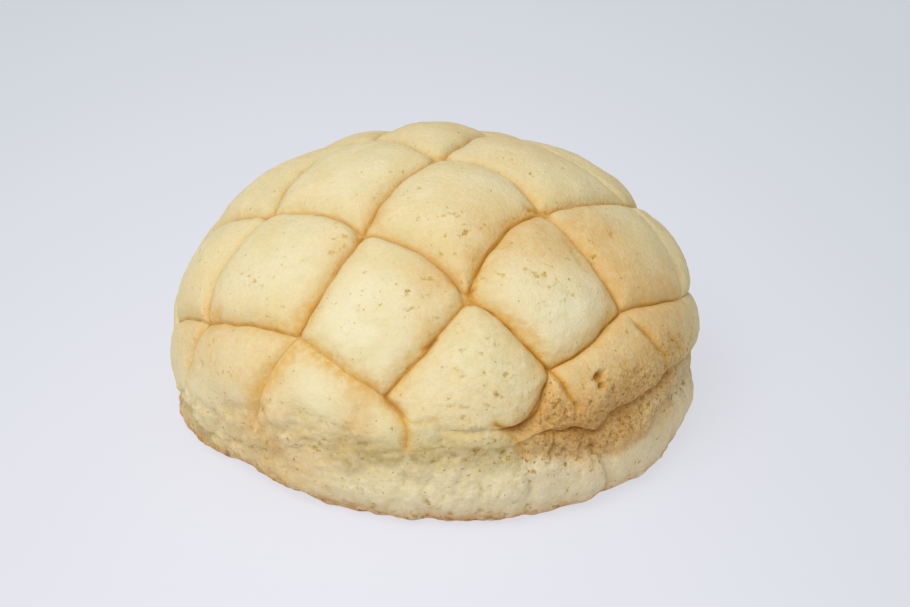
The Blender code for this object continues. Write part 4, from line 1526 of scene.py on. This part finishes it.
class NodeBench:
    """Adds and links the nodes of one material."""

    def __init__(self, name: str) -> None:
        """Starts a material with its shader and output.

        Args:
            name: The material's name.
        """
        self.material = bpy.data.materials.new(name)
        self.material.use_nodes = True
        self.tree = self.material.node_tree
        self.shader = self.tree.nodes["Principled BSDF"]
        self.place = self.add("ShaderNodeTexCoord").outputs["Object"]

    def add(self, kind: str, **settings: str) -> bpy.types.Node:
        """Adds a node.

        Args:
            kind: Its type.
            settings: Its properties.

        Returns:
            The node.
        """
        node = self.tree.nodes.new(kind)
        for name, value in settings.items():
            setattr(node, name, value)
        return node

    def feed(self, socket: bpy.types.NodeSocket, value: SocketValue) -> None:
        """Gives a socket its value.

        Args:
            socket: The socket.
            value: The output to link it to, or the value to set.
        """
        if isinstance(value, bpy.types.NodeSocket):
            self.tree.links.new(value, socket)
        else:
            socket.default_value = value

    def layer(self, layer: Layer) -> bpy.types.NodeSocket:
        """Reads a layer of the mesh."""
        return self.add("ShaderNodeAttribute", attribute_name=layer.value).outputs["Fac"]

    def clouds(self, clouds: Clouds) -> bpy.types.NodeSocket:
        """Makes a noise.

        Args:
            clouds: What it is like.

        Returns:
            The noise, between 0 and 1.
        """
        node = self.add("ShaderNodeTexNoise")
        self.feed(node.inputs["Vector"], self.place)
        self.feed(node.inputs["Scale"], 1.0 / clouds.size)
        self.feed(node.inputs["Detail"], clouds.detail)
        self.feed(node.inputs["Roughness"], clouds.roughness)
        return node.outputs["Fac"]

    def cells(self, size: float, wobble: float) -> bpy.types.NodeSocket:
        """The distance from the middles of seeded, ragged cells.

        Args:
            size: How far apart the middles are, in metres.
            wobble: How far the places are shifted about first, in metres.

        Returns:
            The distance, in cells.
        """
        node = self.add("ShaderNodeTexVoronoi")
        self.feed(node.inputs["Vector"], self.wobbled(0.5 * size, wobble))
        self.feed(node.inputs["Scale"], 1.0 / size)
        return node.outputs["Distance"]

    def wobbled(self, size: float, amount: float) -> bpy.types.NodeSocket:
        """The places, shifted about.

        Args:
            size: How wide the clouds are that shift them, in metres.
            amount: Twice the furthest shift, in metres.

        Returns:
            The shifted places.
        """
        node = self.add("ShaderNodeTexNoise")
        self.feed(node.inputs["Vector"], self.place)
        self.feed(node.inputs["Scale"], 1.0 / size)
        centred = self.between("SUBTRACT", node.outputs["Color"], (0.5, 0.5, 0.5))
        scaled = self.add("ShaderNodeVectorMath", operation="SCALE")
        self.feed(scaled.inputs[0], centred)
        self.feed(scaled.inputs["Scale"], amount)
        return self.between("ADD", self.place, scaled.outputs["Vector"])

    def between(self, operation: str, first: SocketValue, second: SocketValue) -> bpy.types.NodeSocket:
        """Works out an operation between two places.

        Args:
            operation: Which operation.
            first: The first place.
            second: The second place.

        Returns:
            The place that comes out.
        """
        node = self.add("ShaderNodeVectorMath", operation=operation)
        self.feed(node.inputs[0], first)
        self.feed(node.inputs[1], second)
        return node.outputs["Vector"]

    def fold(self, operation: str, *parts: SocketValue) -> bpy.types.NodeSocket:
        """Puts values together by one operation, from the left.

        Args:
            operation: Which operation.
            parts: The values, two or more.

        Returns:
            The value that comes out.
        """
        total = parts[0]
        for part in parts[1:]:
            node = self.add("ShaderNodeMath", operation=operation)
            self.feed(node.inputs[0], total)
            self.feed(node.inputs[1], part)
            total = node.outputs[0]
        return total

    def plus(self, *parts: SocketValue) -> bpy.types.NodeSocket:
        """The sum of values."""
        return self.fold("ADD", *parts)

    def times(self, *parts: SocketValue) -> bpy.types.NodeSocket:
        """The product of values."""
        return self.fold("MULTIPLY", *parts)

    def passage(self, value: SocketValue, passage: Passage) -> bpy.types.NodeSocket:
        """Sends a value through a passage.

        Args:
            value: The value.
            passage: The passage.

        Returns:
            The value that comes out.
        """
        node = self.add("ShaderNodeMapRange", interpolation_type="SMOOTHSTEP")
        self.feed(node.inputs["Value"], value)
        self.feed(node.inputs["From Min"], passage.start)
        self.feed(node.inputs["From Max"], passage.end)
        self.feed(node.inputs["To Min"], passage.low)
        self.feed(node.inputs["To Max"], passage.high)
        return node.outputs["Result"]

    def spread(self, clouds: Clouds, passage: Passage) -> bpy.types.NodeSocket:
        """Sends a noise through a passage."""
        return self.passage(self.clouds(clouds), passage)

    def blend(self, share: SocketValue, first: SocketValue, second: SocketValue) -> bpy.types.NodeSocket:
        """Mixes two colours.

        Args:
            share: The share of the second one.
            first: The first colour.
            second: The second colour.

        Returns:
            The mixed colour.
        """
        node = self.add("ShaderNodeMix", data_type="RGBA")
        self.feed(node.inputs["Factor"], share)
        self.feed(node.inputs["A"], first)
        self.feed(node.inputs["B"], second)
        colours = [output for output in node.outputs if output.type == "RGBA"]
        return colours[0]


@dataclass
class Marks:
    """The small marks, each from 0 to 1: ochre flecks, pits, specks between crags, and dashes of painted
    shade in the seams between lumps.
    """

    flecks: bpy.types.NodeSocket
    pits: bpy.types.NodeSocket
    specks: bpy.types.NodeSocket
    dashes: bpy.types.NodeSocket


@dataclass(frozen=True)
class CrustFinish:
    """The dry, pale baked crust: cream on the tiles, tan where it baked longer, amber in the scores."""

    pale: Colour = (236, 226, 186)
    cream: Colour = (236, 218, 172)
    straw: Colour = (230, 208, 150)
    shaded: Colour = (226, 211, 160)
    # Painted shade: the olive on the tiles' walls beside the scores
    wall: Colour = (226, 215, 164)
    tan: Colour = (224, 186, 122)
    foot: Colour = (233, 219, 181)
    foot_shade: Colour = (224, 207, 158)
    toast: Colour = (200, 152, 86)
    # Painted shade: the olive in the seams between lumps and in the shallow crease
    seam: Colour = (218, 194, 118)
    amber: Colour = (224, 180, 98)
    line: Colour = (210, 154, 58)
    core: Colour = (168, 112, 34)
    # Painted shade: the dark of the crease under the lip and of the notch under the second fold
    crevice_shade: Colour = (192, 140, 64)
    # Painted shade: the olive of the shallow crease
    crease: Colour = (190, 168, 106)
    rim: Colour = (190, 136, 62)
    rust: Colour = (140, 84, 44)
    fleck: Colour = (204, 166, 74)
    pit: Colour = (190, 150, 62)
    # Painted shade: the dashes in the seams between lumps and in the shallow crease
    dash: Colour = (164, 136, 62)
    speck: Colour = (174, 130, 60)
    burnt: Colour = (170, 118, 50)
    # The noises that the colours, the marks and the bump follow
    broad_clouds: Clouds = Clouds(0.011)
    grit_clouds: Clouds = Clouds(0.0014)
    crumb_clouds: Clouds = Clouds(0.0008, 3.0, 0.6)
    shade_clouds: Clouds = Clouds(0.0036, 2.0)
    foot_clouds: Clouds = Clouds(0.0034)
    toast_clouds: Clouds = Clouds(0.0006, 2.0)
    gap_clouds: Clouds = Clouds(0.0030)
    rim_clouds: Clouds = Clouds(0.0032, 4.0, 0.7)
    rust_clouds: Clouds = Clouds(0.0015, 3.0, 0.6)
    ragged_clouds: Clouds = Clouds(0.0018, 3.0, 0.65)
    speck_clouds: Clouds = Clouds(0.0009, 2.0)
    dash_clouds: Clouds = Clouds(0.0021, 2.0)
    dust_clouds: Clouds = Clouds(0.00035, 2.0)
    # How each noise, or the distance from a score in millimetres, turns into a share of its colour
    straw_passage: Passage = Passage(0.38, 0.7, 0.0, 0.7)
    # Straw in the crumb's hollows, which follow the bump's noise: painted shade
    straw_hollow_shade_passage: Passage = Passage(0.6, 0.35, 0.0, 0.6)
    shade_passage: Passage = Passage(0.5, 0.7, 0.0, 0.5)
    wall_shade_passage: Passage = Passage(4.0, 0.8, 0.0, 0.75)
    foot_passage: Passage = Passage(0.42, 0.72, 0.0, 0.35)
    # The foot's shade colour in the crumb's hollows, which follow the bump's noise: painted shade
    foot_hollow_shade_passage: Passage = Passage(0.6, 0.35, 0.0, 0.45)
    tan_passage: Passage = Passage(0.3, 0.7, 0.7, 1.15)
    toast_passage: Passage = Passage(0.42, 0.62, 0.4, 1.05)
    crease_shade_passage: Passage = Passage(0.3, 0.7, 0.4, 0.85)
    seam_shade_passage: Passage = Passage(0.36, 0.62, 0.0, 0.5)
    amber_passage: Passage = Passage(0.33, 0.67, 0.5, 1.2)
    gap_passage: Passage = Passage(0.34, 0.56, 0.5, 1.0)
    line_passage: Passage = Passage(0.8, 0.2)
    core_passage: Passage = Passage(0.36, 0.08, 0.0, 0.75)
    crevice_passage: Passage = Passage(0.3, 0.7, 0.45, 1.0)
    rim_passage: Passage = Passage(0.34, 0.58, 0.25, 1.0)
    rust_passage: Passage = Passage(0.55, 0.62, 0.0, 0.8)
    fleck_passage: Passage = Passage(0.67, 0.75)
    pit_passage: Passage = Passage(0.70, 0.80)
    speck_passage: Passage = Passage(0.70, 0.79)
    dash_passage: Passage = Passage(0.60, 0.68)
    # How much thicker the marks stand where their layer is full, and how strong their colours are
    fleck_crowding: float = 0.135
    pit_crowding: float = 0.21
    speck_crowding: float = 0.12
    pale_strength: float = 0.9
    fleck_strength: float = 0.7
    speck_strength: float = 0.8
    dash_strength: float = 0.7
    pit_strength: float = 0.8
    # The bump: how far each part stands out or goes in, in metres
    crumb_rise: float = 0.00024
    dust_rise: float = 0.00008
    sand_size: float = 0.0009
    sand_wobble: float = 0.0004
    sand_dip: float = 0.00022
    fleck_dip: float = 0.00002
    pit_dip: float = 0.00008
    speck_dip: float = 0.00006
    roughness: float = 0.85
    specular: float = 0.25
    softness: float = 0.2
    softness_depth: float = 0.0006
    softness_tint: tuple[float, float, float] = (1.0, 0.75, 0.5)

    def mark(self, bench: NodeBench) -> Marks:
        """Spreads the small marks.

        Args:
            bench: The material's bench.

        Returns:
            The marks.
        """
        ragged = bench.clouds(self.ragged_clouds)
        likely = bench.plus(ragged, bench.times(bench.layer(Layer.FLECKED), self.fleck_crowding))
        flecks = bench.passage(likely, self.fleck_passage)
        likely = bench.plus(ragged, bench.times(bench.layer(Layer.HOLLOW), self.pit_crowding))
        pits = bench.passage(likely, self.pit_passage)
        likely = bench.plus(bench.clouds(self.speck_clouds),
                            bench.times(bench.layer(Layer.CRAG), self.speck_crowding))
        specks = bench.passage(likely, self.speck_passage)
        # Dashes of painted shade in the seams between lumps and in the shallow crease
        dashes = bench.times(bench.layer(Layer.SEAM_SHADE), bench.spread(self.dash_clouds, self.dash_passage))
        return Marks(flecks, pits, specks, dashes)

    def paint(self, bench: NodeBench, marks: Marks) -> bpy.types.NodeSocket:
        """Puts the colours together.

        Args:
            bench: The material's bench.
            marks: The small marks.

        Returns:
            The colour.
        """
        grit, crumb = bench.clouds(self.grit_clouds), bench.clouds(self.crumb_clouds)
        line_gap, tan, rim = (bench.layer(layer) for layer in (Layer.LINE_GAP, Layer.TAN, Layer.RIM))
        # Straw at random, and straw as painted shade in the crumb's hollows
        straw = bench.plus(bench.spread(self.broad_clouds, self.straw_passage),
                           bench.passage(crumb, self.straw_hollow_shade_passage))
        colour = bench.blend(straw, pigment(*self.cream), pigment(*self.straw))
        # The foot's random mottle, and painted shade in the crumb's hollows
        shade = bench.plus(bench.spread(self.foot_clouds, self.foot_passage),
                           bench.passage(crumb, self.foot_hollow_shade_passage))
        foot = bench.blend(shade, pigment(*self.foot), pigment(*self.foot_shade))
        toasted = bench.times(bench.spread(self.toast_clouds, self.toast_passage),
                              bench.layer(Layer.CRAG), tan)
        scored = bench.times(bench.spread(self.gap_clouds, self.gap_passage), bench.layer(Layer.LINE_DEPTH))
        speck = bench.blend(tan, pigment(*self.speck), pigment(*self.burnt))
        pit = bench.blend(rim, pigment(*self.pit), pigment(*self.rust))
        pit = bench.blend(tan, pit, pigment(*self.line))
        coats = (
            (bench.times(bench.layer(Layer.PALE), self.pale_strength), pigment(*self.pale)),
            (bench.spread(self.shade_clouds, self.shade_passage), pigment(*self.shaded)),
            # Painted olive shade on the walls beside the scores
            (bench.passage(line_gap, self.wall_shade_passage), pigment(*self.wall)),
            (bench.layer(Layer.FOOT), foot),
            (bench.times(tan, bench.passage(grit, self.tan_passage)), pigment(*self.tan)),
            (toasted, pigment(*self.toast)),
            # Painted olive shade in the shallow crease
            (bench.times(bench.layer(Layer.CREASE_SHADE), bench.passage(grit, self.crease_shade_passage)),
             pigment(*self.crease)),
            # Painted olive shade in the seams between lumps and in the shallow crease
            (bench.times(bench.layer(Layer.SEAM_SHADE), bench.passage(grit, self.seam_shade_passage)),
             pigment(*self.seam)),
            (bench.times(bench.layer(Layer.AMBER), bench.passage(grit, self.amber_passage)),
             pigment(*self.amber)),
            (bench.times(bench.passage(line_gap, self.line_passage), scored), pigment(*self.line)),
            (bench.times(bench.passage(line_gap, self.core_passage), scored), pigment(*self.core)),
            # Painted shade in the crease under the lip and in the notch under the second fold
            (bench.times(bench.layer(Layer.CREVICE_SHADE), bench.passage(grit, self.crevice_passage)),
             pigment(*self.crevice_shade)),
            (bench.times(rim, bench.spread(self.rim_clouds, self.rim_passage)), pigment(*self.rim)),
            (bench.times(rim, bench.spread(self.rust_clouds, self.rust_passage)), pigment(*self.rust)),
            (bench.times(marks.flecks, self.fleck_strength), pigment(*self.fleck)),
            (bench.times(marks.specks, self.speck_strength), speck),
            (bench.times(marks.dashes, self.dash_strength), pigment(*self.dash)),
            (bench.times(marks.pits, self.pit_strength), pit),
        )
        for share, coat in coats:
            colour = bench.blend(share, colour, coat)
        return colour

    def grain(self, bench: NodeBench, marks: Marks) -> bpy.types.NodeSocket:
        """The bump of the fine crumb and the small marks.

        Args:
            bench: The material's bench.
            marks: The small marks.

        Returns:
            The bent normal.
        """
        height = bench.times(bench.clouds(self.crumb_clouds), self.crumb_rise)
        sand = bench.times(bench.cells(self.sand_size, self.sand_wobble), bench.layer(Layer.CRAG))
        for part, rise in ((bench.clouds(self.dust_clouds), self.dust_rise), (sand, -self.sand_dip),
                           (marks.flecks, -self.fleck_dip), (marks.pits, -self.pit_dip),
                           (marks.specks, -self.speck_dip)):
            height = bench.plus(height, bench.times(part, rise))
        bump = bench.add("ShaderNodeBump")
        bench.feed(bump.inputs["Height"], height)
        bench.feed(bump.inputs["Strength"], 1.0)
        bench.feed(bump.inputs["Distance"], 1.0)
        return bump.outputs["Normal"]

    def dress(self, piece: bpy.types.Object) -> None:
        """Gives a piece this finish.

        Args:
            piece: The piece, whose mesh carries the layers.
        """
        bench = NodeBench("baked_crust")
        marks = self.mark(bench)
        for name, value in (("Base Color", self.paint(bench, marks)), ("Normal", self.grain(bench, marks)),
                            ("Roughness", self.roughness), ("Specular IOR Level", self.specular),
                            ("Subsurface Weight", self.softness), ("Subsurface Radius", self.softness_tint),
                            ("Subsurface Scale", self.softness_depth)):
            bench.feed(bench.shader.inputs[name], value)
        piece.data.materials.append(bench.material)


@dataclass(frozen=True)
class FloorFinish:
    """The pale floor, which glows as though a light table were under it, with painted light that falls off
    darker away from the bun's front.
    """

    # Painted light: the floor glows brightest near the bun's front and darker towards the far colour
    near: Colour = (238, 238, 246)
    far: Colour = (206, 212, 218)
    matt: Colour = (112, 112, 114)
    painted_glow: float = 0.77
    painted_light_centre: tuple[float, float, float] = (-0.02, -0.08, 0.0)
    depth_share: float = 0.45
    reach: float = 0.21
    roughness: float = 0.9

    def dress(self, floor: bpy.types.Object) -> None:
        """Gives the floor this finish.

        Args:
            floor: The floor.
        """
        bench = NodeBench("pale_floor")
        away = bench.between("SUBTRACT", bench.place, self.painted_light_centre)
        squashed = bench.between("MULTIPLY", away, (1.0, self.depth_share, 1.0))
        length = bench.add("ShaderNodeVectorMath", operation="LENGTH")
        bench.feed(length.inputs[0], squashed)
        # Painted falloff of light away from the centre of the glow
        share = bench.passage(length.outputs["Value"], Passage(0.0, self.reach))
        colour = bench.blend(share, pigment(*self.near), pigment(*self.far))
        for name, value in (("Base Color", pigment(*self.matt)), ("Emission Color", colour),
                            ("Emission Strength", self.painted_glow), ("Roughness", self.roughness),
                            ("Specular IOR Level", 0.0)):
            bench.feed(bench.shader.inputs[name], value)
        floor.data.materials.append(bench.material)


@dataclass(frozen=True)
class Studio:
    """The plain pale floor, the soft light and the camera at the photograph's angle."""

    target: tuple[float, float, float] = (0.0039, 0.0, 0.0215)
    elevation: float = 27.0
    distance: float = 0.5
    lens: float = 99.9
    sensor: float = 36.0
    nearest: float = 0.01
    floor_size: float = 4.0
    floor: FloorFinish = FloorFinish()
    room: Colour = (236, 240, 248)
    room_strength: float = 0.56
    key_size: float = 0.7
    key_energy: float = 7.2
    key_place: tuple[float, float, float] = (-0.30, -0.54, 0.86)

    def lay_floor(self) -> bpy.types.Object:
        """Lays the floor and marks it as stage.

        Returns:
            The floor.
        """
        bpy.ops.object.select_all(action="DESELECT")
        bpy.ops.mesh.primitive_plane_add(size=self.floor_size)
        floor = bpy.context.object
        floor.name = "floor"
        self.floor.dress(floor)
        return floor

    def light(self) -> None:
        """Sets the even light of the room and one large soft lamp above."""
        world = bpy.data.worlds.new("room")
        world.use_nodes = True
        background = world.node_tree.nodes["Background"]
        background.inputs["Color"].default_value = pigment(*self.room)
        background.inputs["Strength"].default_value = self.room_strength
        bpy.context.scene.world = world
        bpy.ops.object.light_add(type="AREA", location=self.key_place)
        key = bpy.context.object
        key.name = "soft_lamp"
        key.data.size = self.key_size
        key.data.energy = self.key_energy
        aim = Vector(self.target) - Vector(self.key_place)
        key.rotation_euler = aim.to_track_quat("-Z", "Y").to_euler()

    def look(self) -> None:
        """Places the camera."""
        tilt = radians(self.elevation)
        back = Vector((0.0, -cos(tilt), sin(tilt)))
        bpy.ops.object.camera_add(location=Vector(self.target) + self.distance * back,
                                  rotation=(0.5 * pi - tilt, 0.0, 0.0))
        camera = bpy.context.object
        camera.data.sensor_width = self.sensor
        camera.data.lens = self.lens
        camera.data.clip_start = self.nearest
        bpy.context.scene.camera = camera
        bpy.context.scene.view_settings.view_transform = "Standard"


def main() -> None:
    """Builds the studio and the bun."""
    logging.basicConfig(level=logging.INFO, format="%(name)s: %(message)s")
    studio = Studio()
    studio.look()
    studio.lay_floor()
    studio.light()

    bun = MelonBread().build()
    CrustFinish().dress(bun)
    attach(bun, "root")
    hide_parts(NODE)
    bun.data.calc_loop_triangles()
    log.info("%s: %d triangles", bun.name, len(bun.data.loop_triangles))


if __name__ == "__main__":
    main()
